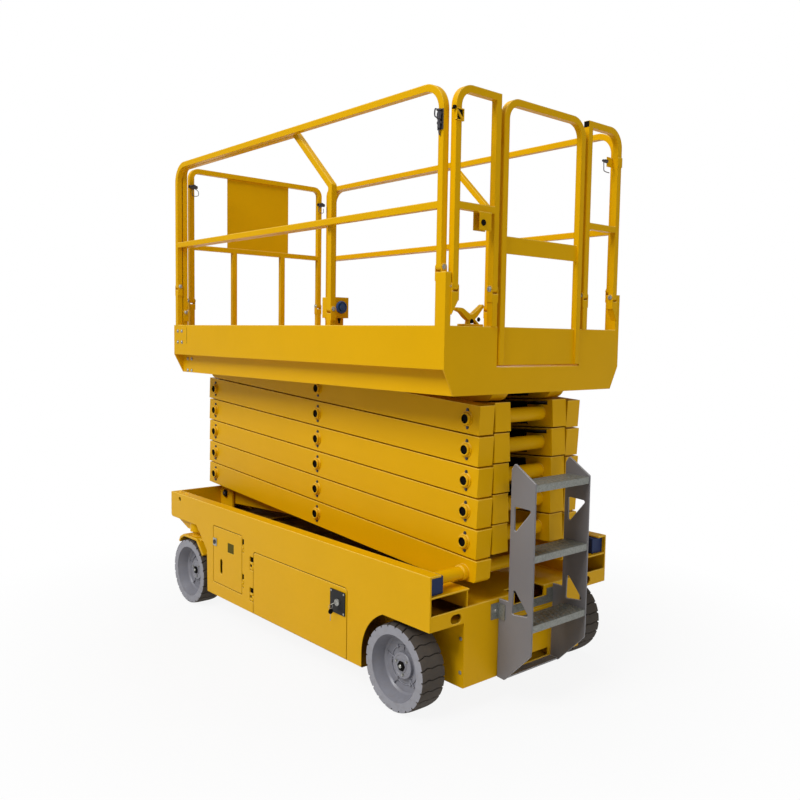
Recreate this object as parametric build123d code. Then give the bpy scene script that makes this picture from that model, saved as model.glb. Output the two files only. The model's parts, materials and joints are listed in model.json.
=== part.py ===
"""Self-propelled electric scissor lift with six stages, a roll-out deck and folding guard rails.

Frame: millimetres, +X forward (steered wheels), +Y left, +Z up. The origin is on the ground, under the
middle of the machine's overall length and width. Lengthways places below are first given from the rear
axle and then moved by AXLE, the rear axle's own place along X.
"""
from build123d import *
import os
from math import asin, atan2, cos, degrees, hypot, radians, sin

# ---------------------------------------------------------------- driving dimensions
WHEELBASE = 1880.0
REAR_OVERHANG = 408.0        # rear axle to the ladder's rear edge
FRONT_OVERHANG = 240.0       # front axle to the front panel
AXLE = (REAR_OVERHANG - FRONT_OVERHANG - WHEELBASE) / 2.0   # rear axle, centres the length on the origin
FRONT_AXLE = AXLE + WHEELBASE

TYRE_RADIUS = 190.5
TYRE_WIDTH = 127.0
WHEEL_Y = 543.5              # middle of each tyre
AXLE_STUB_RADIUS = 35.0

SIDE_Y = 601.0               # outer face of the chassis sides
SIDE_SHEET = 8.0
CHASSIS_TOP = 637.0
CHASSIS_REAR = AXLE - 215.0
CHASSIS_FRONT = FRONT_AXLE + FRONT_OVERHANG
CHASSIS_LOW = 123.0
MID_FRONT = AXLE + 1661.0    # front end of the low middle part
ARCH_X = AXLE + 232.0        # rear end of the low middle part
SPINE_Y = 380.0              # walls of the box between the wheels
DECK_Z = 470.0               # top of the box under the scissor stack
SHELF_Z = 550.0              # floor of the slide channels
CHANNEL_Y = 540.0            # inner edge of the channels' top flange
SHEET = 7.0                  # general chassis sheet

ARM_LENGTH = 2192.0          # pin to pin
STAGES = 6
BASE_PIN_Z = 600.0           # lowest pins
PITCH = 133.2                # rise of one stage when lowered
ARM_HEIGHT = 126.0
ARM_END = 74.0               # arm beyond its end pins
OUTER_ARM = (250.0, 340.0)   # outer arm, inner and outer face
INNER_ARM = (144.0, 242.0)   # inner arm, inner and outer face
PIN_RADIUS = 24.0
PIN_PLAY = 0.1
CROSS_TUBE = 33.0            # radius of the tubes between the inner arms
LUG_TUBE = 27.0              # radius of the tubes that carry the cylinder lugs
FRONT_PIN_X = AXLE + 2042.0
ARM_ANGLE = asin(PITCH / ARM_LENGTH)
REAR_PIN_X = FRONT_PIN_X - ARM_LENGTH * cos(ARM_ANGLE)

PLATFORM_REAR = AXLE - 255.0
PLATFORM_FRONT = AXLE + 2099.0
PLATFORM_Y = 587.5           # outer face of the toe boards
BEAM_Y = 531.0               # outer face of the beams below
BEAM_LOW = 1374.0
FLOOR_Z = 1488.0             # top of the main floor
TOE_TOP = 1657.0
RAIL_TOP = 2610.0
MID_RAIL_Z = 2132.0
TUBE = 29.0                  # guard rail tube
STUB = TUBE + 1.0            # fixed lower posts
BEND = 110.0                 # outer radius of the rails' corners
RUNNING = 5.0                # gap kept round pieces that move
SEAT = 0.3                   # gap between pieces that rest on each other


# ---------------------------------------------------------------- shape helpers
def block(x, y, z):
    """A box from three (low, high) pairs."""
    centre = [(low + high) / 2 for low, high in (x, y, z)]
    return Pos(*centre) * Box(x[1] - x[0], y[1] - y[0], z[1] - z[0])


def outline(points):
    """A flat face from (a, b) or (a, b, corner radius) rows."""
    face = Polygon(*[p[:2] for p in points], align=None)
    for radius in sorted({p[2] for p in points if len(p) == 3}):
        spots = [p for p in points if len(p) == 3 and p[2] == radius]
        corners = [v for v in face.vertices() if any(hypot(v.X - p[0], v.Y - p[1]) < 1e-3 for p in spots)]
        face = fillet(corners, radius)
    return face


def along_y(face, y0, y1):
    """A face drawn in (X, Z), given thickness from y0 up to y1."""
    drawn = Plane(origin=(0, y1, 0), x_dir=(1, 0, 0), z_dir=(0, -1, 0)) * face
    return extrude(drawn, amount=y1 - y0, dir=(0, -1, 0))


def along_x(face, x0, x1):
    """A face drawn in (Y, Z), given thickness from x0 up to x1."""
    drawn = Plane(origin=(x0, 0, 0), x_dir=(0, 1, 0), z_dir=(1, 0, 0)) * face
    return extrude(drawn, amount=x1 - x0, dir=(1, 0, 0))


def along_z(face, z0, z1):
    """A face drawn in (X, Y), given thickness from z0 up to z1."""
    return extrude(Pos(0, 0, z0) * face, amount=z1 - z0, dir=(0, 0, 1))


def rod_x(x0, x1, y, z, radius):
    return Pos((x0 + x1) / 2, y, z) * Rot(0, 90, 0) * Cylinder(radius, x1 - x0)


def rod_y(x, y0, y1, z, radius):
    return Pos(x, (y0 + y1) / 2, z) * Rot(90, 0, 0) * Cylinder(radius, y1 - y0)


def rod_z(x, y, z0, z1, radius):
    return Pos(x, y, (z0 + z1) / 2) * Cylinder(radius, z1 - z0)


def both_sides(shape):
    """A left piece with its mirror image on the right."""
    return shape + mirror(shape, Plane.XZ)


def right_of(shape):
    return mirror(shape, Plane.XZ)


# ---------------------------------------------------------------- wheels
RIM_LIP = 150.0              # radius where the tyre sits on the rim
RIM_WELL = 127.0             # radius where the barrel meets the disc
HUB_FACE = 12.0              # hub's outer face and axle end, outward from the tyre's middle
NUT_END = 20.0
NUT_RADIUS = 19.0
HUB_BORE = AXLE_STUB_RADIUS + PIN_PLAY


def tyre(x, y):
    """Solid tyre: a band with rounded shoulders on the rim's barrel."""
    half = TYRE_WIDTH / 2
    section = outline([(-half, RIM_LIP), (half, RIM_LIP), (half, TYRE_RADIUS - 10, 9),
                       (half - 8, TYRE_RADIUS, 9),
                       (8 - half, TYRE_RADIUS, 9), (-half, TYRE_RADIUS - 10, 9)])
    ring = revolve(Plane.YZ * section, Axis.Y)
    return Pos(x, y, TYRE_RADIUS) * ring


def rim(x, y, side):
    """Dished wheel: barrel, deep disc, raised hub with a nut, all turned about the axle."""
    half = TYRE_WIDTH / 2
    # (outward from the tyre's middle, radius)
    profile = [(-half + 4, RIM_LIP), (half - 2, RIM_LIP), (half - 2, RIM_LIP - 5), (half - 10, RIM_LIP - 7),
               (6, RIM_WELL), (-2, RIM_WELL - 8), (-2, 60), (HUB_FACE - 6, 57), (HUB_FACE, 50),
               (HUB_FACE, HUB_BORE), (-40, HUB_BORE), (-40, 62), (-14, 66), (-14, RIM_WELL - 7),
               (-half + 4, RIM_WELL)]
    body = revolve(Plane.YZ * Polygon(*profile, align=None), Axis.Y)
    bolts = [Pos(84 * cos(radians(a)), 1, 84 * sin(radians(a))) * Rot(90, 0, 0) * Cylinder(7, 10)
             for a in range(0, 360, 60)]
    body = body + bolts
    if side < 0:
        body = mirror(body, Plane.XZ)
    return Pos(x, y, TYRE_RADIUS) * body


# ---------------------------------------------------------------- chassis
LOW_FRONT_Z = 485.0          # underside of the front end, over the steered wheels
REAR_ARCH_Z = 404.0
ARCH_RADIUS = 229.0
DOOR_GAP = 5.0
BATTERY_DOOR = dict(free=AXLE + 340.0, hinge=AXLE + 1153.0, low=125.0, high=454.0, corner=16.0,
                    levels=(208.0, 376.0), notch=16.0)
CONTROL_DOOR = dict(free=AXLE + 1588.0, hinge=AXLE + 1276.0, low=200.0, high=518.0, corner=7.0,
                    levels=(262.0, 455.0), notch=0.0)
DOOR_SHEET = 6.0
HINGE_REACH = 12.0           # hinge pin from the door's edge
HINGE_Y = SIDE_Y - 4.0
TIE_DOWN = dict(x=AXLE + 2009.0, z=605.0, radius=14.0)


def door_face(door, spare=0.0):
    """A door's outline with round corners, drawn in (X, Z) and grown by spare all round."""
    low_x, high_x = sorted((door["free"], door["hinge"]))
    low_x, high_x = low_x - spare, high_x + spare
    low_z, high_z, radius = door["low"] - spare, door["high"] + spare, max(door["corner"] + spare, 4)
    return outline([(low_x, low_z, 4), (high_x, low_z, 4), (high_x, high_z, radius), (low_x, high_z, radius)])


def door_hole(door):
    """The cut in the side sheet: the door and its gap, with notches over and round the hinges."""
    way = 1 if door["hinge"] > door["free"] else -1
    hole = along_y(door_face(door, DOOR_GAP), 0, 2 * SIDE_Y)
    for z in door["levels"]:
        xs = sorted((door["hinge"], door["hinge"] + way * (2 * HINGE_REACH + door["notch"])))
        hole += block(xs, (0, 2 * SIDE_Y), (z - 24, z + 50))
    return hole


def hinge_knuckles(door):
    """Fixed hinge parts on the side sheet: two barrels, their pin and the straps that hold them."""
    way = 1 if door["hinge"] > door["free"] else -1
    x = door["hinge"] + way * HINGE_REACH
    parts = []
    for z in door["levels"]:
        parts.append(rod_z(x, HINGE_Y, z - 20, z + 20, 3))
        for low, high in ((z - 20, z - 8), (z + 8, z + 20)):
            parts.append(rod_z(x, HINGE_Y, low, high, 6))
            xs = sorted((x, x + way * (HINGE_REACH + door["notch"] + 1)))
            parts.append(block(xs, (HINGE_Y - 3, HINGE_Y + 3), (low, high)))
    return parts


def door_panel(door):
    """A door: outer sheet, a stiffening ring set in from the edges, and the moving hinge barrels."""
    way = 1 if door["hinge"] > door["free"] else -1
    back = SIDE_Y - DOOR_SHEET
    panel = along_y(door_face(door), back, SIDE_Y)
    panel += along_y(door_face(door, -32) - door_face(door, -36), back - 18, back)
    x = door["hinge"] + way * HINGE_REACH
    for level in door["levels"]:
        xs = sorted((door["hinge"] - way * 10, x))
        panel += block(xs, (HINGE_Y - 2, HINGE_Y + 3), (level - 7, level + 7))
        panel += rod_z(x, HINGE_Y, level - 7, level + 7, 6)
        panel -= rod_z(x, HINGE_Y, level - 8, level + 8, 3 + PIN_PLAY)
    return panel


def control_door():
    """Control bay door with a sunk window seat and an upright slot."""
    door = door_panel(CONTROL_DOOR)
    door -= block((AXLE + 1361, AXLE + 1428), (SIDE_Y - DOOR_SHEET / 2, SIDE_Y + 1), (398, 452))
    slot = Pos(AXLE + 1500, 301) * Rot(0, 0, 90) * SlotOverall(86, 26)
    return door - along_y(slot, SIDE_Y - 2 * DOOR_SHEET, SIDE_Y + 1)


def side_frame(doors):
    """Left side of the chassis: cut sheet, top flange of the slide channel and the door hinges."""
    arch_z = 175.0
    sheet = outline([(CHASSIS_REAR, CHASSIS_TOP), (CHASSIS_FRONT, CHASSIS_TOP),
                     (CHASSIS_FRONT, LOW_FRONT_Z, 20), (AXLE + 1795, LOW_FRONT_Z, 20), (AXLE + 1667, 359, 20),
                     (MID_FRONT, CHASSIS_LOW), (AXLE + ARCH_RADIUS, CHASSIS_LOW),
                     (AXLE + ARCH_RADIUS, TYRE_RADIUS), (AXLE, TYRE_RADIUS), (AXLE, REAR_ARCH_Z),
                     (CHASSIS_REAR, REAR_ARCH_Z)])
    hump = Pos(AXLE, REAR_ARCH_Z + ARCH_RADIUS) * Rectangle(2 * ARCH_RADIUS, 2 * ARCH_RADIUS)
    sheet -= Pos(AXLE, TYRE_RADIUS) * Circle(ARCH_RADIUS) - hump
    side = along_y(sheet, SIDE_Y - SIDE_SHEET, SIDE_Y)
    side += block((CHASSIS_REAR, CHASSIS_FRONT - SIDE_SHEET), (CHANNEL_Y, SIDE_Y - SIDE_SHEET),
                  (CHASSIS_TOP - SIDE_SHEET, CHASSIS_TOP))
    side -= rod_y(TIE_DOWN["x"], SIDE_Y - 2 * SIDE_SHEET, SIDE_Y + 5, TIE_DOWN["z"], TIE_DOWN["radius"])
    for door in doors:
        side -= door_hole(door)
        side += hinge_knuckles(door)
    return side


INNER_Y = SIDE_Y - SIDE_SHEET          # inside face of the side sheets
DIVIDER_X = AXLE + 1222.0              # wall between the battery and control bays


def chassis_box():
    """Lower welded box between the sides: floor, long walls, wheel walls, arch roofs and bay walls."""
    low = (CHASSIS_LOW - 5, CHASSIS_LOW + 2)
    rear = CHASSIS_REAR + SHEET
    floor = block((ARCH_X, MID_FRONT), (-INNER_Y, INNER_Y), low)
    floor += block((rear, ARCH_X), (-SPINE_Y - 20, SPINE_Y + 20), low)
    wall = block((ARCH_X, MID_FRONT), (SPINE_Y - SHEET, SPINE_Y), (low[1], DECK_Z - SHEET - SEAT))
    wheel_wall = block((rear, ARCH_X), (SPINE_Y + 13, SPINE_Y + 20), (low[1], REAR_ARCH_Z))
    wheel_wall -= axle_tube(SEAT)
    arch_roof = block((rear, ARCH_X), (SPINE_Y - SHEET, INNER_Y), (REAR_ARCH_Z, REAR_ARCH_Z + SHEET))
    bays = [block((x, x + SHEET), (SPINE_Y, INNER_Y), (low[1], SHELF_Z - SHEET - SEAT)) for x in
            (ARCH_X, DIVIDER_X, MID_FRONT - SHEET)]
    return floor + both_sides(wall + wheel_wall + arch_roof + bays)


def chassis_deck():
    """Deck under the stack with a raised shelf along each side, where the low slides run."""
    rear = CHASSIS_REAR + SHEET + SEAT
    deck = block((rear, MID_FRONT), (-SPINE_Y, SPINE_Y), (DECK_Z - SHEET, DECK_Z))
    deck -= block((rear - 1, rear + 60), DECK_NOTCH_Y, (DECK_Z - 2 * SHEET, DECK_Z + 1))
    shelf = block((CHASSIS_REAR, MID_FRONT), (SPINE_Y - SHEET, INNER_Y), (SHELF_Z - SHEET, SHELF_Z))
    wall = block((rear, MID_FRONT), (SPINE_Y - SHEET, SPINE_Y), (DECK_Z, SHELF_Z - SHEET))
    return deck + both_sides(shelf + wall)


REAR_SLOT = dict(y=449.0, z=432.0, radius=20.0, length=64.0)
LADDER_Y = 190.0
BRACKET_BAND = (383.0, 420.0)           # strip between the ladder's brackets
FOOT_GAP_Y = (-165.0, 60.0)             # opening over the ladder's foot plate
DECK_NOTCH_Y = (-125.0, 80.0)           # opening behind the strip


def rear_frame():
    """Rear cross-member with its two long holes, and the plate that closes the lower box."""
    beam = block((CHASSIS_REAR, CHASSIS_REAR + SHEET), (-INNER_Y, INNER_Y), (REAR_ARCH_Z, DECK_Z))
    for y in (-REAR_SLOT["y"], REAR_SLOT["y"]):
        slot = SlotOverall(REAR_SLOT["length"], 2 * REAR_SLOT["radius"])
        beam -= along_x(Pos(y, REAR_SLOT["z"]) * slot, CHASSIS_REAR - 5, CHASSIS_REAR + 2 * SHEET)
    low = block((CHASSIS_REAR, CHASSIS_REAR + SHEET), (-SPINE_Y - 20, SPINE_Y + 20),
                (CHASSIS_LOW - 5, REAR_ARCH_Z))
    low -= block((CHASSIS_REAR - 5, CHASSIS_REAR + 20), FOOT_GAP_Y, (CHASSIS_LOW + 6, 166))
    beam -= block((CHASSIS_REAR - 5, CHASSIS_REAR + 20), DECK_NOTCH_Y, (BRACKET_BAND[1] + 1, DECK_Z + 1))
    return beam + low


BRACKET = dict(y=(OUTER_ARM[0], OUTER_ARM[0] + 14.0), inner=(INNER_ARM[0] - 20.0, INNER_ARM[0] - 4.0))
KINGPIN_HOUSING = 48.0
KNUCKLE_TOP = 400.0


def front_frame():
    """Front tray over the steered wheels, its end panel, nose box, steering axle and scissor brackets."""
    end = CHASSIS_FRONT - SIDE_SHEET
    tray = block((MID_FRONT, end), (-INNER_Y, INNER_Y), (LOW_FRONT_Z, LOW_FRONT_Z + SHEET))
    tray += block((end, CHASSIS_FRONT), (-INNER_Y, INNER_Y), (LOW_FRONT_Z, CHASSIS_TOP))
    nose_z = (CHASSIS_LOW + 60, KNUCKLE_TOP - 12)
    nose = block((MID_FRONT, FRONT_AXLE + 170), (-300, 300), nose_z)
    nose -= block((MID_FRONT - 1, FRONT_AXLE + 170 - SHEET), (-300 + SHEET, 300 - SHEET),
                  (nose_z[0] + SHEET, nose_z[1] - SHEET))
    nose += block((FRONT_AXLE + 70, FRONT_AXLE + 70 + SHEET), (-250, 250), (nose_z[1], LOW_FRONT_Z))
    beam = block((FRONT_AXLE - 60, FRONT_AXLE + 60), (-WHEEL_Y, WHEEL_Y), (KNUCKLE_TOP + 28, LOW_FRONT_Z))
    frame = tray + nose + beam
    for side in (-1, 1):
        frame += rod_z(FRONT_AXLE, side * WHEEL_Y, KNUCKLE_TOP + 28, LOW_FRONT_Z, KINGPIN_HOUSING)
        bore = KINGPIN_RADIUS + PIN_PLAY
        frame -= rod_z(FRONT_AXLE, side * WHEEL_Y, KNUCKLE_TOP, LOW_FRONT_Z - 10, bore)
    gusset = outline([(FRONT_AXLE + 30, LOW_FRONT_Z), (end, LOW_FRONT_Z), (FRONT_AXLE + 80, KNUCKLE_TOP + 32),
                      (FRONT_AXLE + 30, KNUCKLE_TOP + 32)])
    for out in (-24, 24):
        frame += both_sides(along_y(gusset, WHEEL_Y + out - 4, WHEEL_Y + out + 4))
    ear = outline([(FRONT_PIN_X - 75, LOW_FRONT_Z + SHEET), (end, LOW_FRONT_Z + SHEET),
                   (end, BASE_PIN_Z + 15),
                   (FRONT_PIN_X + 48, BASE_PIN_Z + 42, 6), (FRONT_PIN_X - 50, BASE_PIN_Z + 42, 6),
                   (FRONT_PIN_X - 75, BASE_PIN_Z + 15)])
    for ys in (BRACKET["y"], BRACKET["inner"]):
        frame += both_sides(along_y(ear, *ys))
    pin = rod_y(FRONT_PIN_X, BRACKET["inner"][0], BRACKET["y"][1] + 6, BASE_PIN_Z, PIN_RADIUS)
    return frame + both_sides(pin)


def bay_block(x, side, depth, z):
    """A plain block in a side bay: batteries on one side, the pump and tank on the other."""
    ys = sorted((side * (SPINE_Y + 3), side * (SPINE_Y + 3 + depth)))
    return block(x, ys, z)


LADDER_FRONT = CHASSIS_REAR
LADDER_REAR = AXLE - REAR_OVERHANG
LADDER_PLATE = 8.0
BRACKET_SHEET = 6.0
STEP_LEVELS = (393.0, 695.0, 998.0)


def ladder():
    """Two side plates with triangular holes, joined by a foot plate."""
    front, rear = LADDER_FRONT, LADDER_REAR
    edge = front - BRACKET_SHEET - 2 * SEAT
    plate = outline([(front - 5, 118), (front - 47, 115, 6), (rear + 3, 262, 6), (rear, 300), (rear, 1004, 8),
                     (front - 78, 1078, 8), (front - 60, 1050, 8), (front - 60, 470),
                     (edge, 470), (edge, 330)])
    upper = outline([(rear + 14, 888, 8), (rear + 113, 893, 8), (rear + 111, 772, 8)])
    lower = outline([(rear + 16, 431, 8), (rear + 112, 418, 8), (rear + 108, 541, 8)])
    side = along_y(plate - upper - lower, LADDER_Y - LADDER_PLATE, LADDER_Y)
    foot = block((front - 46, front - SEAT), (-LADDER_Y + LADDER_PLATE, LADDER_Y - LADDER_PLATE), (118, 124))
    return both_sides(side) + foot


def ladder_bracket():
    """Strip across the cross-member with a tab and an angle at each end, which holds the ladder."""
    front = LADDER_FRONT
    xs = (front - BRACKET_SHEET, front - SEAT)
    strip = block(xs, (-LADDER_Y, LADDER_Y), BRACKET_BAND)
    tab = block(xs, (LADDER_Y - 46, LADDER_Y + 46), (BRACKET_BAND[0], 452))
    angle = block((front - 44, xs[0]), (LADDER_Y + SEAT, LADDER_Y + 5), (BRACKET_BAND[0], 452))
    return strip + both_sides(tab + angle)


def ladder_steps():
    """Three pressed treads: a top sheet with turned-down front and rear edges."""
    width = LADDER_Y - LADDER_PLATE - 0.2
    steps = []
    for z in STEP_LEVELS:
        steps.append(block((LADDER_REAR + 2, LADDER_REAR + 122), (-width, width), (z - 4, z)))
        for x in (LADDER_REAR + 2, LADDER_REAR + 118):
            steps.append(block((x, x + 4), (-width, width), (z - 30, z - 4)))
    return Part() + steps


AXLE_TUBE = 35.0             # half the side of the square axle tube


def axle_tube(spare=0.0):
    half = AXLE_TUBE + spare
    return block((AXLE - half, AXLE + half), (-WHEEL_Y + 90, WHEEL_Y - 90),
                 (TYRE_RADIUS - half, TYRE_RADIUS + half))


def rear_axle():
    """Square axle tube through the lower box, with a stub in each rear wheel."""
    tube = axle_tube()
    stub = rod_y(AXLE, WHEEL_Y - 91, WHEEL_Y + HUB_FACE, TYRE_RADIUS, AXLE_STUB_RADIUS)
    nut = rod_y(AXLE, WHEEL_Y + HUB_FACE, WHEEL_Y + NUT_END, TYRE_RADIUS, NUT_RADIUS)
    return tube + both_sides(stub + nut)


# ---------------------------------------------------------------- steering
KINGPIN_RADIUS = 26.0
STEER_ARM = 140.0            # kingpin to tie rod pin
TIE_ROD_Z = (KNUCKLE_TOP + 4.0, KNUCKLE_TOP + 14.0)


def knuckle(side):
    """Steering knuckle: bent cover plate over the tyre, inner plate, drive hub, spindle and kingpin."""
    y = WHEEL_Y
    inner = WHEEL_Y - TYRE_WIDTH / 2
    # (forward of the kingpin, up from the plate's top): bent plate, front lip last
    bend = [(-158, -80), (-82, 0), (82, 0), (128, -22), (146, -52), (134, -57), (119, -33), (79, -12),
            (-76, -12), (-149, -89)]
    cheek = [(-152, -90), (-79, -8), (80, -8), (124, -30), (130, -70), (70, -290, 40), (-70, -290, 40),
             (-128, -110)]
    cover, cheek = (outline([(FRONT_AXLE + p[0], KNUCKLE_TOP + p[1], *p[2:]) for p in rows])
                    for rows in (bend, cheek))
    body = along_y(cover, inner - 26, y + 55) + along_y(cheek, inner - 26, inner - 14)
    body += rod_y(FRONT_AXLE, inner - 66, inner - 26, TYRE_RADIUS, 78)
    body += rod_y(FRONT_AXLE, inner - 14, y + HUB_FACE, TYRE_RADIUS, AXLE_STUB_RADIUS)
    body += rod_y(FRONT_AXLE, y + HUB_FACE, y + NUT_END, TYRE_RADIUS, NUT_RADIUS)
    body += rod_z(FRONT_AXLE, y, KNUCKLE_TOP, LOW_FRONT_Z - 12, KINGPIN_RADIUS)
    body += rod_z(FRONT_AXLE, y, KNUCKLE_TOP, KNUCKLE_TOP + 27.7, 34)
    if side < 0:
        body = right_of(body)
    pin = (FRONT_AXLE - STEER_ARM, side * WHEEL_Y)
    ear = along_z(outline([(pin[0] - 15, pin[1] - 15, 14), (FRONT_AXLE - 72, pin[1] - 40),
                           (FRONT_AXLE - 72, pin[1] + 40), (pin[0] - 15, pin[1] + 15, 14)]),
                  KNUCKLE_TOP - 12, KNUCKLE_TOP)
    return body + ear + rod_z(*pin, KNUCKLE_TOP, TIE_ROD_Z[1] + 4, 7)


def tie_rod():
    """Flat bar between the knuckles' steering arms, with an eye at each end."""
    x = FRONT_AXLE - STEER_ARM
    bar = block((x - 9, x + 9), (-WHEEL_Y, WHEEL_Y), TIE_ROD_Z)
    for side in (-1, 1):
        bar += rod_z(x, side * WHEEL_Y, *TIE_ROD_Z, 14)
    for side in (-1, 1):
        bar -= rod_z(x, side * WHEEL_Y, TIE_ROD_Z[0] - 1, TIE_ROD_Z[1] + 1, 7 + PIN_PLAY)
    return bar


# ---------------------------------------------------------------- scissor stack
def pin_level(n):
    return BASE_PIN_Z + n * PITCH


def arm_beam(n, ys, tilt, short_rear=False, short_front=False):
    """One pair of arms at stage n: boxes from end to end, with a round end where a short one is asked for."""
    x = (FRONT_PIN_X + REAR_PIN_X) / 2
    z = pin_level(n - 0.5)
    half = ARM_LENGTH / 2
    ends = (-half - (0 if short_rear else ARM_END), half + (0 if short_front else ARM_END))
    beam = block(ends, ys, (-ARM_HEIGHT / 2, ARM_HEIGHT / 2))
    if short_rear:
        beam += rod_y(-half, *ys, 0, ARM_HEIGHT / 2)
    if short_front:
        beam += rod_y(half, *ys, 0, ARM_HEIGHT / 2)
    return Location((x, 0, z), (0, degrees(tilt), 0)) * beam


LUG_SHARE = 0.285            # cylinder lugs from the arm's nearer end, as a share of its length
LUG_RISE = 20.0              # cylinder pins above the lower arm's middle line and below the upper arm's
LUG_SET = 54.0               # lug tube from the cylinder's pin, along and square to the arm
CYLINDER_PIN = 18.0
LUG_Y = (52.0, 64.0)
EYE_RADIUS = 30.0


def arm_point(n, share, rise=0.0):
    """A point on inner arm n, at a share of its length from the front pin, raised square to the arm."""
    x = FRONT_PIN_X - share * ARM_LENGTH * cos(ARM_ANGLE) + rise * sin(ARM_ANGLE)
    z = pin_level(n - 1) + share * PITCH + rise * cos(ARM_ANGLE)
    return x, z


def cylinder_lugs(n, share, way):
    """Tube across the inner arms with two lugs for a lift cylinder. way is -1 where it lies below its pin."""
    tube_x, tube_z = arm_point(n, share + LUG_SET / ARM_LENGTH, way * (LUG_SET - LUG_RISE))
    pin_x, pin_z = arm_point(n, share, -way * LUG_RISE)
    lugs = rod_y(tube_x, -INNER_ARM[0], INNER_ARM[0], tube_z, LUG_TUBE)
    web = outline([(-LUG_SET / 2, -LUG_TUBE - 3), (LUG_SET, -EYE_RADIUS), (LUG_SET, EYE_RADIUS),
                   (-LUG_SET / 2, LUG_TUBE + 3)])
    turn = degrees(atan2(pin_z - tube_z, pin_x - tube_x))
    web = Location((tube_x, 0, tube_z), (0, -turn, 0)) * along_y(web, *LUG_Y)
    web += rod_y(pin_x, *LUG_Y, pin_z, EYE_RADIUS) + rod_y(tube_x, *LUG_Y, tube_z, LUG_TUBE + 6)
    lugs += both_sides(web)
    if way < 0:
        lugs += rod_y(pin_x, -LUG_Y[1] - 4, LUG_Y[1] + 4, pin_z, CYLINDER_PIN)
    return lugs


DISC = dict(stage=4, y=(118.0, 126.0), radius=48.0)      # flange on one rear cross tube


def inner_arm(n):
    """Inner arms of stage n: front end low, rear end high, joined by cross tubes at both ends."""
    beams = both_sides(arm_beam(n, INNER_ARM, ARM_ANGLE, short_rear=(n == STAGES), short_front=(n == 1)))
    front, rear = (FRONT_PIN_X, pin_level(n - 1)), (REAR_PIN_X, pin_level(n))
    body = beams
    for x, z in (front, rear):
        if n == 1 and x == FRONT_PIN_X:
            continue
        body += rod_y(x, -INNER_ARM[0], INNER_ARM[0], z, CROSS_TUBE)
    if n in (1, 4):
        body += cylinder_lugs(n, 1 - LUG_SHARE, -1)
    if n == DISC["stage"]:
        body += rod_y(REAR_PIN_X, *DISC["y"], pin_level(n), DISC["radius"])
    if n in (2, 5):
        body += cylinder_lugs(n, LUG_SHARE, 1)
    bore = PIN_RADIUS + PIN_PLAY
    middle = ((FRONT_PIN_X + REAR_PIN_X) / 2, pin_level(n - 0.5))
    for x, z in (front, middle, rear):
        if n == STAGES and x == REAR_PIN_X:
            continue
        through = (x == FRONT_PIN_X and n > 1) or (x == REAR_PIN_X and n == STAGES - 1)
        inside = 0 if through else INNER_ARM[0] - 1
        body -= both_sides(rod_y(x, inside, INNER_ARM[1] + 1, z, bore))
    if n == STAGES:
        body += both_sides(rod_y(REAR_PIN_X, INNER_ARM[1], TOP_SLIDE_Y[0] - 1, pin_level(n), 20))
        body += both_sides(rod_y(REAR_PIN_X, TOP_SLIDE_Y[0] - 1, TOP_SLIDE_Y[1] - 8, pin_level(n), 12))
    return body


BOSS = dict(radius=33.0, depth=5.0, bore=17.0, bore_depth=14.0)


LOW_SHAFT = 28.0             # shaft across the machine between the low slides


def cut_below_pin(z):
    """What is cut from the underside of the lowest arms' rear ends, with a bevel at the corner."""
    x = REAR_PIN_X
    low = z - LOW_SHAFT - 8
    face = outline([(x - ARM_END - 20, z - ARM_HEIGHT), (x + 110, z - ARM_HEIGHT), (x + 40, low),
                    (x - ARM_END + 12, low), (x - ARM_END - 20, low + 32)])
    return along_y(face, -OUTER_ARM[1] - 1, OUTER_ARM[1] + 1)


def outer_arm(n):
    """Outer arms of stage n, rear end low, joined by a shaft through the next stage's tube."""
    beams = both_sides(arm_beam(n, OUTER_ARM, -ARM_ANGLE, short_front=(n == STAGES)))
    middle = ((FRONT_PIN_X + REAR_PIN_X) / 2, pin_level(n - 0.5))
    spots = [middle]
    if n > 1:
        spots.append((REAR_PIN_X, pin_level(n - 1)))
    if n < STAGES:
        spots.append((FRONT_PIN_X, pin_level(n)))
    shaft = spots[-1]
    body = beams + rod_y(shaft[0], -INNER_ARM[0] - 1, INNER_ARM[0] + 1, shaft[1], PIN_RADIUS)
    for x, z in spots:
        ring = rod_y(x, OUTER_ARM[1], OUTER_ARM[1] + BOSS["depth"], z, BOSS["radius"])
        pin = rod_y(x, INNER_ARM[0], OUTER_ARM[1] + BOSS["depth"] + 3, z, PIN_RADIUS)
        body += both_sides(ring + pin)
        end = OUTER_ARM[1] + BOSS["depth"] + 3
        body -= both_sides(rod_y(x, end - BOSS["bore_depth"], end + 1, z, BOSS["bore"]))
    if n == 1:
        z = pin_level(0)
        body -= cut_below_pin(z)
        body += rod_y(REAR_PIN_X, -OUTER_ARM[0] - 1, OUTER_ARM[0] + 1, z, LOW_SHAFT)
        body += both_sides(rod_y(REAR_PIN_X, OUTER_ARM[1], LOW_SLIDE_Y[0] - 1, z, LOW_SHAFT)
                           + rod_y(REAR_PIN_X, LOW_SLIDE_Y[0] - 1, LOW_SLIDE_Y[1] - 8, z, 16)
                           + rod_y(REAR_PIN_X, OUTER_ARM[1], OUTER_ARM[1] + 26, z, LOW_SHAFT + 6))
    if n == STAGES:
        body -= both_sides(rod_y(FRONT_PIN_X, OUTER_ARM[0] - 1, OUTER_ARM[1] + 1, pin_level(n),
                                 PIN_RADIUS + PIN_PLAY))
    return body


LOW_SLIDE_Y = (CHANNEL_Y + 6.0, INNER_Y - 1.0)
TOP_SLIDE_Y = (472.0, BEAM_Y - 9.0)
SLIDE_HALF = 52.0


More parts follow.
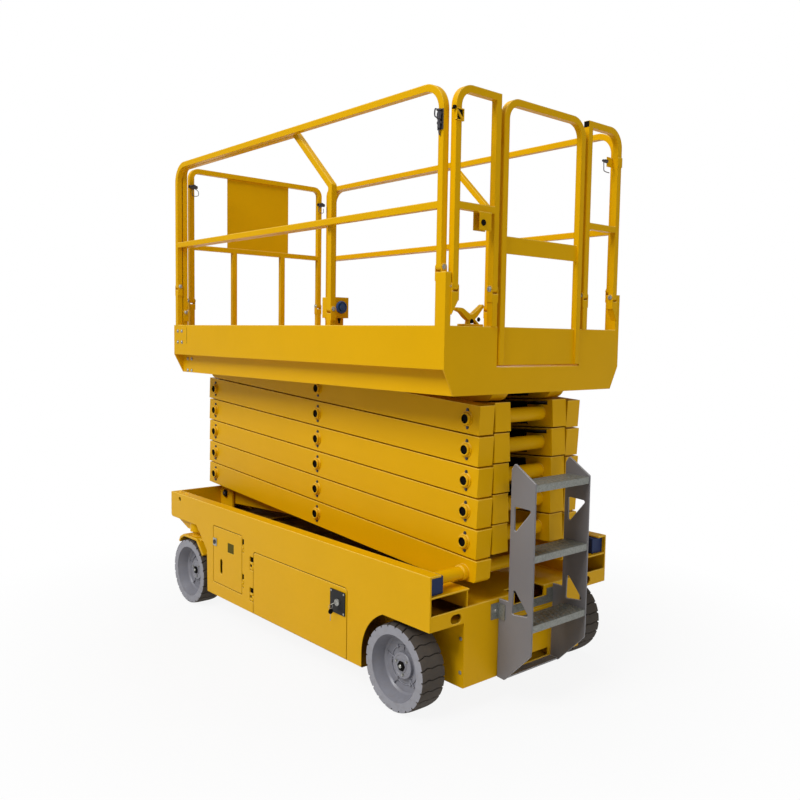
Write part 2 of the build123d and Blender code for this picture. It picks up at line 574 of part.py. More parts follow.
def low_slides():
    """Wear blocks that run in the chassis channels and hold the lowest rear pins."""
    z = (SHELF_Z + 0.3, CHASSIS_TOP - SIDE_SHEET - 1.0)
    slide = block((REAR_PIN_X - SLIDE_HALF, REAR_PIN_X + SLIDE_HALF), LOW_SLIDE_Y, z)
    slide -= rod_y(REAR_PIN_X, LOW_SLIDE_Y[0] - 1, LOW_SLIDE_Y[1] - 7.7, pin_level(0), 16 + PIN_PLAY)
    return both_sides(slide)


def top_slides():
    """Wear blocks that run in the platform's beams and hold the highest rear pins."""
    z = (BEAM_LOW + 9.0, 1446.0)
    slide = block((REAR_PIN_X - SLIDE_HALF, REAR_PIN_X + SLIDE_HALF), TOP_SLIDE_Y, z)
    slide -= rod_y(REAR_PIN_X, TOP_SLIDE_Y[0] - 1, TOP_SLIDE_Y[1] - 7.7, pin_level(STAGES), 12 + PIN_PLAY)
    return both_sides(slide)


# ---------------------------------------------------------------- lift cylinders
BARREL_RADIUS = 48.0
GLAND_RADIUS = 51.0
ROD_REACH = 590.0            # rod from its far end in the barrel to its eye
ROD_RADIUS = 30.0
EYE_HALF = LUG_Y[0] - 0.5


def cylinder_ends(n):
    """Pins of the cylinder whose barrel stands on inner arm n: the barrel's and the rod's."""
    return arm_point(n, 1 - LUG_SHARE, LUG_RISE), arm_point(n + 1, LUG_SHARE, -LUG_RISE)


def along_cylinder(n, shape):
    """Puts a shape drawn along +X from the barrel's pin on its real line."""
    (x0, z0), (x1, z1) = cylinder_ends(n)
    angle = degrees(asin((z1 - z0) / hypot(x1 - x0, z1 - z0)))
    return Location((x0, 0, z0), (0, -angle, 0)) * shape


def cylinder_barrel(n):
    """Barrel: eye, tube, end cap, gland and the bore that the rod runs in."""
    (x0, z0), (x1, z1) = cylinder_ends(n)
    length = hypot(x1 - x0, z1 - z0)
    barrel = rod_y(0, -EYE_HALF, EYE_HALF, 0, EYE_RADIUS) + rod_x(20, 60, 0, 0, 34)
    barrel += rod_x(55, length - 110, 0, 0, BARREL_RADIUS)
    barrel += rod_x(length - 150, length - 100, 0, 0, GLAND_RADIUS)
    barrel -= rod_x(length - ROD_REACH - 10, length, 0, 0, ROD_RADIUS + SEAT)
    barrel -= rod_y(0, -LUG_Y[1], LUG_Y[1], 0, CYLINDER_PIN + PIN_PLAY)
    return along_cylinder(n, barrel)


def cylinder_rod(n):
    """Rod with its eye and pin at the far end."""
    (x0, z0), (x1, z1) = cylinder_ends(n)
    length = hypot(x1 - x0, z1 - z0)
    rod = rod_x(length - ROD_REACH, length - 20, 0, 0, ROD_RADIUS)
    rod += rod_y(length, -EYE_HALF, EYE_HALF, 0, EYE_RADIUS)
    return along_cylinder(n, rod)


# ---------------------------------------------------------------- platform
ARM_TOP_Z = pin_level(STAGES) + ARM_HEIGHT / 2    # highest point that the stack's round ends reach
BEAM_SHEET = 8.0
TOE_SHEET = 6.0
TOE_FLANGE_Y = PLATFORM_Y - 34.0
SIDE_RAIL_Y = PLATFORM_Y - STUB / 2
DECK_RAIL_Y = SIDE_RAIL_Y - 35.0
REAR_FRAME_X = PLATFORM_REAR + 8.0      # middle of the rear frames and gate
MAIN_REAR_X = REAR_FRAME_X + STUB + 5.5
MAIN_FRONT_X = PLATFORM_FRONT - 36.0
FRONT_FRAME_X = MAIN_FRONT_X + STUB + 4.5
DECK_REAR_X = AXLE + 566.0
DECK_FRONT_X = MAIN_FRONT_X
PIN_Z = dict(main_left=1888.0, main_right=1846.0, front=1808.0, rear=1812.0, deck_right=1773.0,
             deck_left=1734.0)
FOLD_PIN = 6.0
EAR = 4.0
REAR_POST_Y = (308.0, 538.0)            # posts of each rear section
GATE_Y = 272.0               # gate's outer edge


def fold_post(x, y, base, pin_z, axis):
    """Fixed lower post: a stub, two ears and the pin that the rail folds on. axis is the pin's way."""
    half = STUB / 2
    post = block((x - half, x + half), (y - half, y + half), (base, pin_z - half - RUNNING))
    for side in (-1, 1):
        near, far = sorted((side * half, side * (half + EAR)))
        if axis == "x":
            ear = block((x + near, x + far), (y - half, y + half), (pin_z - 55, pin_z))
            post += ear + rod_x(x + near, x + far, y, pin_z, half)
        else:
            ear = block((x - half, x + half), (y + near, y + far), (pin_z - 55, pin_z))
            post += ear + rod_y(x, y + near, y + far, pin_z, half)
    reach = half + EAR + 2
    if axis == "x":
        return post + rod_x(x - reach, x + reach, y, pin_z, FOLD_PIN)
    return post + rod_y(x, y - reach, y + reach, pin_z, FOLD_PIN)


def hoop(a, top, low, bends):
    """Outline of a tube frame open below: a is (left, right) of the posts' outer faces."""
    left, right = a
    outer = [(left, low), (left, top) + ((bends[0],) if bends[0] else ()),
             (right, top) + ((bends[1],) if bends[1] else ()), (right, low)]
    inner = [(left + TUBE, low - 1), (left + TUBE, top - TUBE) + ((bends[0] - TUBE,) if bends[0] else ()),
             (right - TUBE, top - TUBE) + ((bends[1] - TUBE,) if bends[1] else ()), (right - TUBE, low - 1)]
    return outline(outer) - outline(inner)


def post_feet(places, pin_z, axis):
    """Rounded feet and pin holes of a folding rail's posts."""
    feet = [rod_x(x - TUBE / 2, x + TUBE / 2, y, pin_z, TUBE / 2) if axis == "x"
            else rod_y(x, y - TUBE / 2, y + TUBE / 2, pin_z, TUBE / 2) for x, y in places]
    holes = [rod_x(x - TUBE, x + TUBE, y, pin_z, FOLD_PIN + PIN_PLAY / 2) if axis == "x"
             else rod_y(x, y - TUBE, y + TUBE, pin_z, FOLD_PIN + PIN_PLAY / 2) for x, y in places]
    return feet, holes


def main_rail(pin_z):
    """Long side rail of the platform, on the left."""
    half = TUBE / 2
    face = hoop((MAIN_REAR_X - half, MAIN_FRONT_X + half), RAIL_TOP, pin_z, (BEND, BEND))
    rail = along_y(face, SIDE_RAIL_Y - half, SIDE_RAIL_Y + half)
    rail += block((MAIN_REAR_X, MAIN_FRONT_X), (SIDE_RAIL_Y - half, SIDE_RAIL_Y + half),
                  (MID_RAIL_Z - half, MID_RAIL_Z + half))
    feet, holes = post_feet([(MAIN_REAR_X, SIDE_RAIL_Y), (MAIN_FRONT_X, SIDE_RAIL_Y)], pin_z, "x")
    return rail + feet - holes


def deck_rail(pin_z):
    """Side rail of the roll-out deck, on the left: its top runs down a slope at the rear."""
    half = TUBE / 2
    top, slope = RAIL_TOP, (DECK_REAR_X + 300, RAIL_TOP - 300)
    left, right = DECK_REAR_X - half, DECK_FRONT_X + half
    outer = outline([(left, pin_z), (left, slope[1], 20), (slope[0], top, 30), (right, top, 60),
                     (right, pin_z)])
    inner = outline([(left + TUBE, pin_z - 1), (left + TUBE, slope[1] - 12, 8),
                     (slope[0] + 12, top - TUBE, 8), (right - TUBE, top - TUBE, 60 - TUBE),
                     (right - TUBE, pin_z - 1)])
    rail = along_y(outer - inner, DECK_RAIL_Y - half, DECK_RAIL_Y + half)
    rail += block((DECK_REAR_X, DECK_FRONT_X), (DECK_RAIL_Y - half, DECK_RAIL_Y + half),
                  (MID_RAIL_Z - half, MID_RAIL_Z + half))
    feet, holes = post_feet([(DECK_REAR_X, DECK_RAIL_Y), (DECK_FRONT_X, DECK_RAIL_Y)], pin_z, "x")
    return rail + feet - holes


FRONT_POST_Y = 474.0


def front_rail():
    """Front frame of the roll-out deck: hoop, sheet panel, mid rail and two lower bars."""
    half = TUBE / 2
    x = FRONT_FRAME_X
    face = hoop((-FRONT_POST_Y - half, FRONT_POST_Y + half), RAIL_TOP - 4, PIN_Z["front"], (60, 60))
    rail = along_x(face, x - half, x + half)
    rail += block((x - half, x + half), (-FRONT_POST_Y, FRONT_POST_Y), (MID_RAIL_Z - half, MID_RAIL_Z + half))
    rail += block((x - 2, x + 2), (-226, 226), (MID_RAIL_Z, RAIL_TOP - 20))
    low = TOE_TOP + RUNNING + 3
    for y in (-179, 179):
        rail += block((x - half, x + half), (y - half, y + half), (low, MID_RAIL_Z))
    feet, holes = post_feet([(x, -FRONT_POST_Y), (x, FRONT_POST_Y)], PIN_Z["front"], "y")
    return rail + feet - holes


def hanging_bracket(x, ys, zs):
    """Sheet channel under a rail, open below and toward both ends of the rail."""
    front = x + TUBE / 2
    channel = block((x - 24, front), ys, zs)
    return channel - block((x - 20, front - 4), (ys[0] - 1, ys[1] + 1), (zs[0] - 1, zs[1] - 4))


def rear_rail(with_hinges):
    """Rear section beside the gate, on the left: rounded outer corner, square inner end."""
    half = TUBE / 2
    x = REAR_FRAME_X
    inner, outer = REAR_POST_Y
    face = hoop((inner - half, outer + half), RAIL_TOP - 8, PIN_Z["rear"], (0, 90))
    rail = along_x(face, x - half, x + half)
    rail += block((x - half, x + half), (inner, outer), (MID_RAIL_Z - half, MID_RAIL_Z + half))
    feet, holes = post_feet([(x, inner), (x, outer)], PIN_Z["rear"], "y")
    rail = rail + feet - holes
    if with_hinges:
        rail += hanging_bracket(x, (350, 418), (2044, MID_RAIL_Z - half))
        rail += gate_barrels([(-37, -13), (13, 37)], inner - half + 2)
        for z in GATE_HINGE["levels"]:
            rail += rod_z(GATE_HINGE["x"], GATE_HINGE["y"], z - 37, z + 37, GATE_HINGE["radius"] / 2)
    return rail


GATE_HINGE = dict(x=REAR_FRAME_X + 7.5, y=GATE_Y + 12.8, levels=(RAIL_TOP - 690, RAIL_TOP - 170), radius=7.5)


def gate_barrels(share, reach_y):
    """Hinge barrels of the gate: share picks the middle or outer thirds, reach_y is the strap's far end."""
    barrels = Part()
    x, y, radius = GATE_HINGE["x"], GATE_HINGE["y"], GATE_HINGE["radius"]
    for z in GATE_HINGE["levels"]:
        for low, high in share:
            barrels += rod_z(x, y, z + low, z + high, radius)
            barrels += block((x - 4, x), sorted((y, reach_y)), (z + low, z + high))
    return barrels


def gate():
    """Entry gate: full hoop with a flat middle plate and a toe panel."""
    half = TUBE / 2
    x = REAR_FRAME_X
    low = FLOOR_Z + TREAD_PLATE["depth"] + RUNNING + 1
    face = hoop((-GATE_Y, GATE_Y), RAIL_TOP - 8, low, (90, 90))
    leaf = along_x(face, x - half, x + half)
    leaf += block((x - 3, x + 3), (-GATE_Y + TUBE, GATE_Y - TUBE), (1964, 2036))
    leaf += block((x - 3, x + 3), (-GATE_Y + TUBE, GATE_Y - TUBE), (low, TOE_TOP))
    leaf += gate_barrels([(-12, 12)], GATE_Y - 2)
    for z in GATE_HINGE["levels"]:
        leaf -= rod_z(GATE_HINGE["x"], GATE_HINGE["y"], z - 13, z + 13, GATE_HINGE["radius"] / 2 + PIN_PLAY)
    return leaf


def platform_frame():
    """Platform's welded frame: side beams, toe boards, end plates, cross ribs, brackets and fixed posts."""
    end = BEAM_SHEET
    xs = (PLATFORM_REAR + end, PLATFORM_FRONT - end)
    beam = block(xs, (BEAM_Y - BEAM_SHEET, BEAM_Y), (BEAM_LOW, FLOOR_Z - SHEET))
    beam += block(xs, (TOP_SLIDE_Y[0], BEAM_Y - BEAM_SHEET), (BEAM_LOW, BEAM_LOW + BEAM_SHEET))
    beam += block(xs, (TOP_SLIDE_Y[0], BEAM_Y - BEAM_SHEET), (1447, 1455))
    toe = block(xs, (BEAM_Y - BEAM_SHEET, PLATFORM_Y), (FLOOR_Z - SHEET, FLOOR_Z))
    toe += block(xs, (PLATFORM_Y - TOE_SHEET, PLATFORM_Y), (FLOOR_Z, TOE_TOP))
    toe += block(xs, (TOE_FLANGE_Y, PLATFORM_Y - TOE_SHEET), (TOE_TOP - TOE_SHEET, TOE_TOP))
    frame = both_sides(beam + toe)
    rear = outline([(PLATFORM_Y, TOE_TOP), (PLATFORM_Y, FLOOR_Z - SHEET), (BEAM_Y, BEAM_LOW),
                    (-BEAM_Y, BEAM_LOW), (-PLATFORM_Y, FLOOR_Z - SHEET), (-PLATFORM_Y, TOE_TOP),
                    (-GATE_Y - 8, TOE_TOP), (-GATE_Y - 8, FLOOR_Z), (GATE_Y + 8, FLOOR_Z),
                    (GATE_Y + 8, TOE_TOP)])
    frame += along_x(rear, PLATFORM_REAR, PLATFORM_REAR + end)
    frame += both_sides(block((PLATFORM_REAR, PLATFORM_REAR + 34), (GATE_Y + 26, TOE_FLANGE_Y),
                              (TOE_TOP - TOE_SHEET, TOE_TOP)))
    cap = outline([(PLATFORM_Y, TOE_TOP), (PLATFORM_Y, FLOOR_Z - SHEET), (BEAM_Y, BEAM_LOW),
                   (TOP_SLIDE_Y[0], BEAM_LOW), (TOP_SLIDE_Y[0], FLOOR_Z), (TOE_FLANGE_Y, FLOOR_Z),
                   (TOE_FLANGE_Y, TOE_TOP)])
    frame += both_sides(along_x(cap, PLATFORM_FRONT - end, PLATFORM_FRONT))
    frame += block((PLATFORM_FRONT - end, PLATFORM_FRONT), (-TOP_SLIDE_Y[0], TOP_SLIDE_Y[0]),
                   (ARM_TOP_Z + 6, FLOOR_Z))
    frame += block((FRONT_PIN_X - 75, FRONT_PIN_X + 49), (-TOP_SLIDE_Y[1], TOP_SLIDE_Y[1]),
                   (ARM_TOP_Z + 8, FLOOR_Z - SHEET))
    for x in (AXLE + 1080, AXLE + 1430):
        frame += block((x, x + 50), (-TOP_SLIDE_Y[0], TOP_SLIDE_Y[0]), (1440, FLOOR_Z - SHEET))
    ear = outline([(FRONT_PIN_X - 70, FLOOR_Z - SHEET), (FRONT_PIN_X - 30, pin_level(STAGES) - 28, 24),
                   (FRONT_PIN_X + 30, pin_level(STAGES) - 28, 24), (FRONT_PIN_X + 49, FLOOR_Z - SHEET)])
    for ys in ((OUTER_ARM[0] - 18, OUTER_ARM[0] - 6), (OUTER_ARM[1] + 6, OUTER_ARM[1] + 18)):
        frame += both_sides(along_y(ear, *ys))
    frame += both_sides(rod_y(FRONT_PIN_X, OUTER_ARM[0] - 18, OUTER_ARM[1] + 22, pin_level(STAGES),
                              PIN_RADIUS))
    return frame + platform_posts()


CORNER_BRACKET = (1700.0, 1757.0)       # underside of the brackets on the corner posts, outer and inner edge


def platform_posts():
    """Fixed posts below the side rails and rear sections, each rear corner one wide post with a bracket."""
    half = STUB / 2
    bracket_top = PIN_Z["rear"] - half - RUNNING
    posts = []
    for side, pin_z in ((1, PIN_Z["main_left"]), (-1, PIN_Z["main_right"])):
        y = side * SIDE_RAIL_Y
        for x in (MAIN_REAR_X, MAIN_FRONT_X):
            posts.append(fold_post(x, y, TOE_TOP, pin_z, "x"))
        posts.append(block((REAR_FRAME_X - 8, MAIN_REAR_X - half + 1), (y - half, y + half),
                           (TOE_TOP, pin_z - half - RUNNING)))
        near, far = y - side * (half - 1), side * (REAR_POST_Y[1] - half)
        bracket = Polygon((near, CORNER_BRACKET[0]), (near, bracket_top), (far, bracket_top),
                          (far, CORNER_BRACKET[1]), align=None)
        posts.append(along_x(bracket, REAR_FRAME_X - half, REAR_FRAME_X + half))
        posts.append(fold_post(REAR_FRAME_X, side * REAR_POST_Y[0], TOE_TOP, PIN_Z["rear"], "y"))
        posts.append(fold_post(REAR_FRAME_X, side * REAR_POST_Y[1], CORNER_BRACKET[1], PIN_Z["rear"], "y"))
    return posts


TREAD_PLATE = dict(x=(PLATFORM_REAR + 120, AXLE + 500), half=490.0, depth=3.0)


def platform_floor():
    """Main floor plate, with a raised tread plate where people step in."""
    floor = block((PLATFORM_REAR + BEAM_SHEET + 0.3, PLATFORM_FRONT - BEAM_SHEET - 0.3),
                  (-BEAM_Y + BEAM_SHEET + 0.3, BEAM_Y - BEAM_SHEET - 0.3), (FLOOR_Z - SHEET + 0.3, FLOOR_Z))
    return floor + block(TREAD_PLATE["x"], (-TREAD_PLATE["half"], TREAD_PLATE["half"]),
                         (FLOOR_Z, FLOOR_Z + TREAD_PLATE["depth"]))


DECK_Z_LOW = FLOOR_Z + 6.0


def extension_deck():
    """Roll-out deck: floor on two low side channels, front toe board and fixed posts for its rails."""
    side = TOE_FLANGE_Y - RUNNING
    z = DECK_Z_LOW
    xs = (DECK_REAR_X - STUB / 2, FRONT_FRAME_X + STUB / 2)
    deck = block(xs, (-side, side), (z, z + 5))
    deck += both_sides(block(xs, (side - 6, side), (z, z + 50))
                       + block(xs, (side - 40, side), (FLOOR_Z + SEAT, z)))
    deck += block((xs[1] - 6, xs[1]), (-side, side), (z, TOE_TOP))
    for side_sign, pin_z in ((1, PIN_Z["deck_left"]), (-1, PIN_Z["deck_right"])):
        for x in (DECK_REAR_X, DECK_FRONT_X):
            deck += fold_post(x, side_sign * DECK_RAIL_Y, z + 5, pin_z, "x")
        deck += fold_post(FRONT_FRAME_X, side_sign * FRONT_POST_Y, z + 5, PIN_Z["front"], "y")
    return deck


def outlet_box():
    """Socket box on its stand beside the deck's left rear post."""
    stand = block((AXLE + 640, AXLE + 646), (410, 500), (DECK_Z_LOW + 5 + SEAT, DECK_Z_LOW + 200))
    return stand + block((AXLE + 600, AXLE + 690), (410, 500), (DECK_Z_LOW + 200, 1793))


# ---------------------------------------------------------------- build
def parts():
    """Every sub-part by its node name."""
    pieces = {
        "side_frame_left": side_frame([BATTERY_DOOR, CONTROL_DOOR]),
        "side_frame_right": right_of(side_frame([BATTERY_DOOR])),
        "chassis_box": chassis_box(),
        "chassis_deck": chassis_deck(),
        "rear_frame": rear_frame(),
        "front_frame": front_frame(),
        "battery_pack": bay_block((AXLE + 300, AXLE + 1180), 1, 165, (CHASSIS_LOW + 2.3, 440)),
        "pump_and_tank": bay_block((AXLE + 300, AXLE + 1180), -1, 165, (CHASSIS_LOW + 2.3, 400)),
        "ground_controls": bay_block((AXLE + 1290, AXLE + 1570), 1, 150, (CHASSIS_LOW + 2.3, 480)),
        "ladder": ladder(),
        "ladder_bracket": ladder_bracket(),
        "ladder_steps": ladder_steps(),
        "rear_axle": rear_axle(),
        "battery_door": door_panel(BATTERY_DOOR),
        "pump_door": right_of(door_panel(BATTERY_DOOR)),
        "control_door": control_door(),
        "knuckle_left": knuckle(1),
        "knuckle_right": knuckle(-1),
        "tie_rod": tie_rod(),
        "low_slides": low_slides(),
        "top_slides": top_slides(),
        "platform_frame": platform_frame(),
        "platform_floor": platform_floor(),
        "extension_deck": extension_deck(),
        "outlet_box": outlet_box(),
        "main_rail_left": main_rail(PIN_Z["main_left"]),
        "main_rail_right": right_of(main_rail(PIN_Z["main_right"])),
        "deck_rail_left": deck_rail(PIN_Z["deck_left"]),
        "deck_rail_right": right_of(deck_rail(PIN_Z["deck_right"])),
        "front_rail": front_rail(),
        "rear_rail_left": rear_rail(True),
        "rear_rail_right": right_of(rear_rail(False)),
        "gate": gate(),
    }
    for end, x in (("front", FRONT_AXLE), ("rear", AXLE)):
        for name, side in (("left", 1), ("right", -1)):
            pieces[f"tyre_{end}_{name}"] = tyre(x, side * WHEEL_Y)
            pieces[f"rim_{end}_{name}"] = rim(x, side * WHEEL_Y, side)
    for n in range(1, STAGES + 1):
        pieces[f"inner_arm_{n}"] = inner_arm(n)
        pieces[f"outer_arm_{n}"] = outer_arm(n)
    for name, n in (("low", 1), ("high", 4)):
        pieces[f"{name}_cylinder_barrel"] = cylinder_barrel(n)
        pieces[f"{name}_cylinder_rod"] = cylinder_rod(n)
    return pieces


os.makedirs("parts", exist_ok=True)
for node, shape in parts().items():
    export_step(shape, f"parts/{node}.step")
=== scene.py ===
import json
import math
import bpy
import numpy as np
from mathutils import Matrix, Vector


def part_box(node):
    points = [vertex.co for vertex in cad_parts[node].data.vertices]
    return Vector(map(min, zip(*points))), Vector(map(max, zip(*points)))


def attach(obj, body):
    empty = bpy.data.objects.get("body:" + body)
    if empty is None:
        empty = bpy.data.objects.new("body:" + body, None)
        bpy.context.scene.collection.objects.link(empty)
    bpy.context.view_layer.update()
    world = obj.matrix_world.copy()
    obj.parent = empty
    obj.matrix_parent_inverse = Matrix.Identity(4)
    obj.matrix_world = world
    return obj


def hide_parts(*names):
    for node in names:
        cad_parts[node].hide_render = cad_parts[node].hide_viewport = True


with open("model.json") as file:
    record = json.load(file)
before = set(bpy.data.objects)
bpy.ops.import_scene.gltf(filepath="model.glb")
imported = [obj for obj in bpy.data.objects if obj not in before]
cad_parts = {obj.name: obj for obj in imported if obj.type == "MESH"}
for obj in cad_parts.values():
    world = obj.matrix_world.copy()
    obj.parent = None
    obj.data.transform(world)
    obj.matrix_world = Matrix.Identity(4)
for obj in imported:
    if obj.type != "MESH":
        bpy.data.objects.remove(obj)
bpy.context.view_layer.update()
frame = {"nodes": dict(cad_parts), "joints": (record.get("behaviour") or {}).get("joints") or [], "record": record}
REC = frame["record"]
JOINTS = {j["name"]: j for j in frame["joints"]}
SLOTS = {s["node"]: s["material_slot"] for s in REC["subparts"]}
MOUNTS = {m["name"]: m["pos_m"] for m in REC["mounts"]}


def pos(joint):
    """Where a hinge stands, as an array in metres."""
    return np.array(JOINTS[joint]["pos_m"])


# ------------------------------------------------------------------ materials
def linear(rgb):
    """sRGB 0-255 to linear light: a straight part near black, else a power of 2.4."""
    c = np.array(rgb) / 255.0
    return (*np.where(c <= 0.04045, c / 12.92, ((c + 0.055) / 1.055) ** 2.4), 1.0)


def node(tree, kind, **inputs):
    """A shader node with its attributes and sockets set by name, where _ stands for a space.

    A socket can also be named i0, i1 and so on, by its place. A value that is itself a socket is linked."""
    n = tree.nodes.new(kind)
    for key, value in inputs.items():
        if hasattr(n, key):
            setattr(n, key, value)
            continue
        by_place = key[0] == "i" and key[1:].isdigit()
        socket = n.inputs[int(key[1:]) if by_place else key.replace("_", " ")]
        if isinstance(value, bpy.types.NodeSocket):
            tree.links.new(value, socket)
        else:
            socket.default_value = value
    return n


def maths(tree, operation, *values):
    """The output of one maths node, whose numbers or sockets are given in order."""
    inputs = {f"i{k}": value for k, value in enumerate(values)}
    return node(tree, "ShaderNodeMath", operation=operation, **inputs).outputs[0]


def ramp(tree, value, start, end, low=0.0, high=1.0):
    """An output that runs from low to high while a value runs from start to end, and is held beyond them."""
    return node(tree, "ShaderNodeMapRange", Value=value, From_Min=start, From_Max=end, To_Min=low,
                To_Max=high).outputs[0]


def blend(tree, share, first, second):
    """A colour output that turns from the first colour to the second by a share."""
    return node(tree, "ShaderNodeMix", data_type="RGBA", Factor=share, i6=first, i7=second).outputs[2]


def split(tree, vector):
    """The X, Y and Z outputs of a vector."""
    return node(tree, "ShaderNodeSeparateXYZ", Vector=vector).outputs


def object_at(tree):
    """Where a point lies in its own object, in metres."""
    return tree.nodes.new("ShaderNodeTexCoord").outputs["Object"]


def plain_normal(tree):
    """The surface's own shaded normal, with no rounding and no bump."""
    return tree.nodes.new("ShaderNodeNewGeometry").outputs["Normal"]


def group(name, inputs, outputs):
    """An empty node group with named float or colour sockets: its tree, its inputs and its outputs."""
    tree = bpy.data.node_groups.new(name, "ShaderNodeTree")
    kinds = {"f": "NodeSocketFloat", "c": "NodeSocketColor"}
    for label, kind, value in inputs:
        tree.interface.new_socket(label, in_out="INPUT", socket_type=kinds[kind]).default_value = value
    for label, kind in outputs:
        tree.interface.new_socket(label, in_out="OUTPUT", socket_type=kinds[kind])
    return tree, tree.nodes.new("NodeGroupInput").outputs, tree.nodes.new("NodeGroupOutput").inputs


GREY = (0.8, 0.8, 0.8, 1)
DUST_RGB = (120, 105, 80)


def surface_group():
    """Paint and metal finish: colour drifts over a hand's width, dust settles low down, grain sets the bump."""
    tree, i, o = group("worn_surface", [
        ("Colour", "c", GREY), ("Dust Colour", "c", linear(DUST_RGB)), ("Drift", "f", 0.1), ("Dust", "f", 0.2),
        ("Grain Scale", "f", 900.0), ("Roughness", "f", 0.4), ("Speckle", "f", 0.0)],
        [("Colour", "c"), ("Roughness", "f"), ("Height", "f")])
    at = object_at(tree)
    broad = node(tree, "ShaderNodeTexNoise", Vector=at, Scale=3.1, Detail=4.0, Roughness=0.6).outputs["Fac"]
    fine = node(tree, "ShaderNodeTexNoise", Vector=at, Scale=38.0, Detail=5.0, Roughness=0.65).outputs["Fac"]
    grain = node(tree, "ShaderNodeTexNoise", Vector=at, Scale=i["Grain Scale"], Detail=2.0).outputs["Fac"]
    spots = node(tree, "ShaderNodeTexVoronoi", Vector=at, Scale=i["Grain Scale"]).outputs["Color"]
    drift = maths(tree, "MULTIPLY", maths(tree, "SUBTRACT", broad, 0.5), i["Drift"])
    spot = maths(tree, "MULTIPLY_ADD", maths(tree, "SUBTRACT", spots, 0.5), i["Speckle"], drift)
    value = maths(tree, "ADD", spot, 1.0)
    colour = node(tree, "ShaderNodeHueSaturation", Value=value, Color=i["Colour"]).outputs[0]
    low = ramp(tree, split(tree, at)["Z"], 0.75, 0.05, 0.12, 1.0)
    dust = maths(tree, "MULTIPLY", low, ramp(tree, fine, 0.48, 0.72))
    dust = maths(tree, "MULTIPLY", dust, i["Dust"])
    tree.links.new(blend(tree, dust, colour, i["Dust Colour"]), o["Colour"])
    rough = maths(tree, "MULTIPLY_ADD", fine, 0.14, i["Roughness"])
    tree.links.new(maths(tree, "MULTIPLY_ADD", dust, 0.4, rough), o["Roughness"])
    tree.links.new(grain, o["Height"])
    return tree


def edge_highlight_group():
    """Painted highlight on edges that face up, where rounded edges catch the light: the rounded normal differs
    from the flat one only there.
    """
    tree, i, o = group("edge_light", [("Colour", "c", GREY), ("Edge Colour", "c", (1, 1, 1, 1)),
                                      ("Amount", "f", 0.5), ("Radius", "f", 0.003)], [("Colour", "c")])
    soft = node(tree, "ShaderNodeBevel", samples=6, Radius=i["Radius"]).outputs[0]
    same = node(tree, "ShaderNodeVectorMath", operation="DOT_PRODUCT", i0=soft, i1=plain_normal(tree))
    turn = ramp(tree, same.outputs["Value"], 0.99, 0.8)
    share = maths(tree, "MULTIPLY", turn, ramp(tree, split(tree, soft)["Z"], 0.1, 0.6))
    share = maths(tree, "MULTIPLY", share, i["Amount"])
    tree.links.new(blend(tree, share, i["Colour"], i["Edge Colour"]), o["Colour"])
    return tree


AXLE = pos("wheel_rear_left_roll")
TRAY_LEVEL = 0.48               # height of the tray's floor
ARCH_RIM = (0.30, 0.27)         # from the axle, where the arches' painted shade fades in
ARCH_INNER = (0.43, 0.47)       # from the middle plane, where it fades in
ARCH_OUTER = (0.5995, 0.598)    # and where it stops, just inside the side sheet's face


def tray_shade_group():
    """Painted shade on the tray floor and in the rear wheel arches, which lie in deep shadow, broken up by noise.

    The floor's mask is upward faces at its height, fading towards the rear. The arches' mask is points near the
    axle, between the lower box and the side sheet's face."""
    tree, i, o = group("tray_dirt", [("Colour", "c", GREY), ("Dirt Colour", "c", (0.1, 0.1, 0.1, 1)),
                                     ("Roughness", "f", 0.4), ("Amount", "f", 0.8)],
                       [("Colour", "c"), ("Roughness", "f")])
    at = object_at(tree)
    place = split(tree, at)
    off = maths(tree, "ABSOLUTE", maths(tree, "SUBTRACT", place["Z"], TRAY_LEVEL))
    up = ramp(tree, split(tree, plain_normal(tree))["Z"], 0.7, 0.9)
    floor = maths(tree, "MULTIPLY", ramp(tree, off, 0.03, 0.02), up)
    floor = maths(tree, "MULTIPLY", floor, ramp(tree, place["X"], -0.75, -0.35))
    aside = maths(tree, "ABSOLUTE", place["Y"])
    flat = node(tree, "ShaderNodeVectorMath", operation="MULTIPLY", i0=at, i1=(1, 0, 1)).outputs["Vector"]
    far = node(tree, "ShaderNodeVectorMath", operation="DISTANCE", i0=flat, i1=(AXLE[0], 0, AXLE[2]))
    arch = maths(tree, "MULTIPLY", ramp(tree, aside, *ARCH_OUTER), ramp(tree, far.outputs["Value"], *ARCH_RIM))
    arch = maths(tree, "MULTIPLY", arch, ramp(tree, aside, *ARCH_INNER))
    noise = node(tree, "ShaderNodeTexNoise", Vector=at, Scale=9.0, Detail=5.0).outputs["Fac"]
    share = maths(tree, "MULTIPLY", i["Amount"], maths(tree, "MAXIMUM", floor, arch))
    share = maths(tree, "MULTIPLY", share, ramp(tree, noise, 0.25, 0.6, 0.6))
    tree.links.new(blend(tree, share, i["Colour"], i["Dirt Colour"]), o["Colour"])
    tree.links.new(maths(tree, "MULTIPLY_ADD", share, 0.55, i["Roughness"]), o["Roughness"])
    return tree


SURFACE = surface_group()
EDGE_LIGHT = edge_highlight_group()
TRAY_SHADE = tray_shade_group()
BUMP_DEPTH = 0.001      # metres from the lowest grain to the highest at full strength
EDGE_SPREAD = 3.6       # the painted edge highlight's reach as a multiple of the edge's rounding


def shader_group(tree, of_tree, links, **values):
    """A node that holds a shared group, with sockets linked or set by name, where _ stands for a space."""
    n = tree.nodes.new("ShaderNodeGroup")
    n.node_tree = of_tree
    for label, socket in links.items():
        tree.links.new(socket, n.inputs[label])
    for key, value in values.items():
        n.inputs[key.replace("_", " ")].default_value = value
    return n.outputs


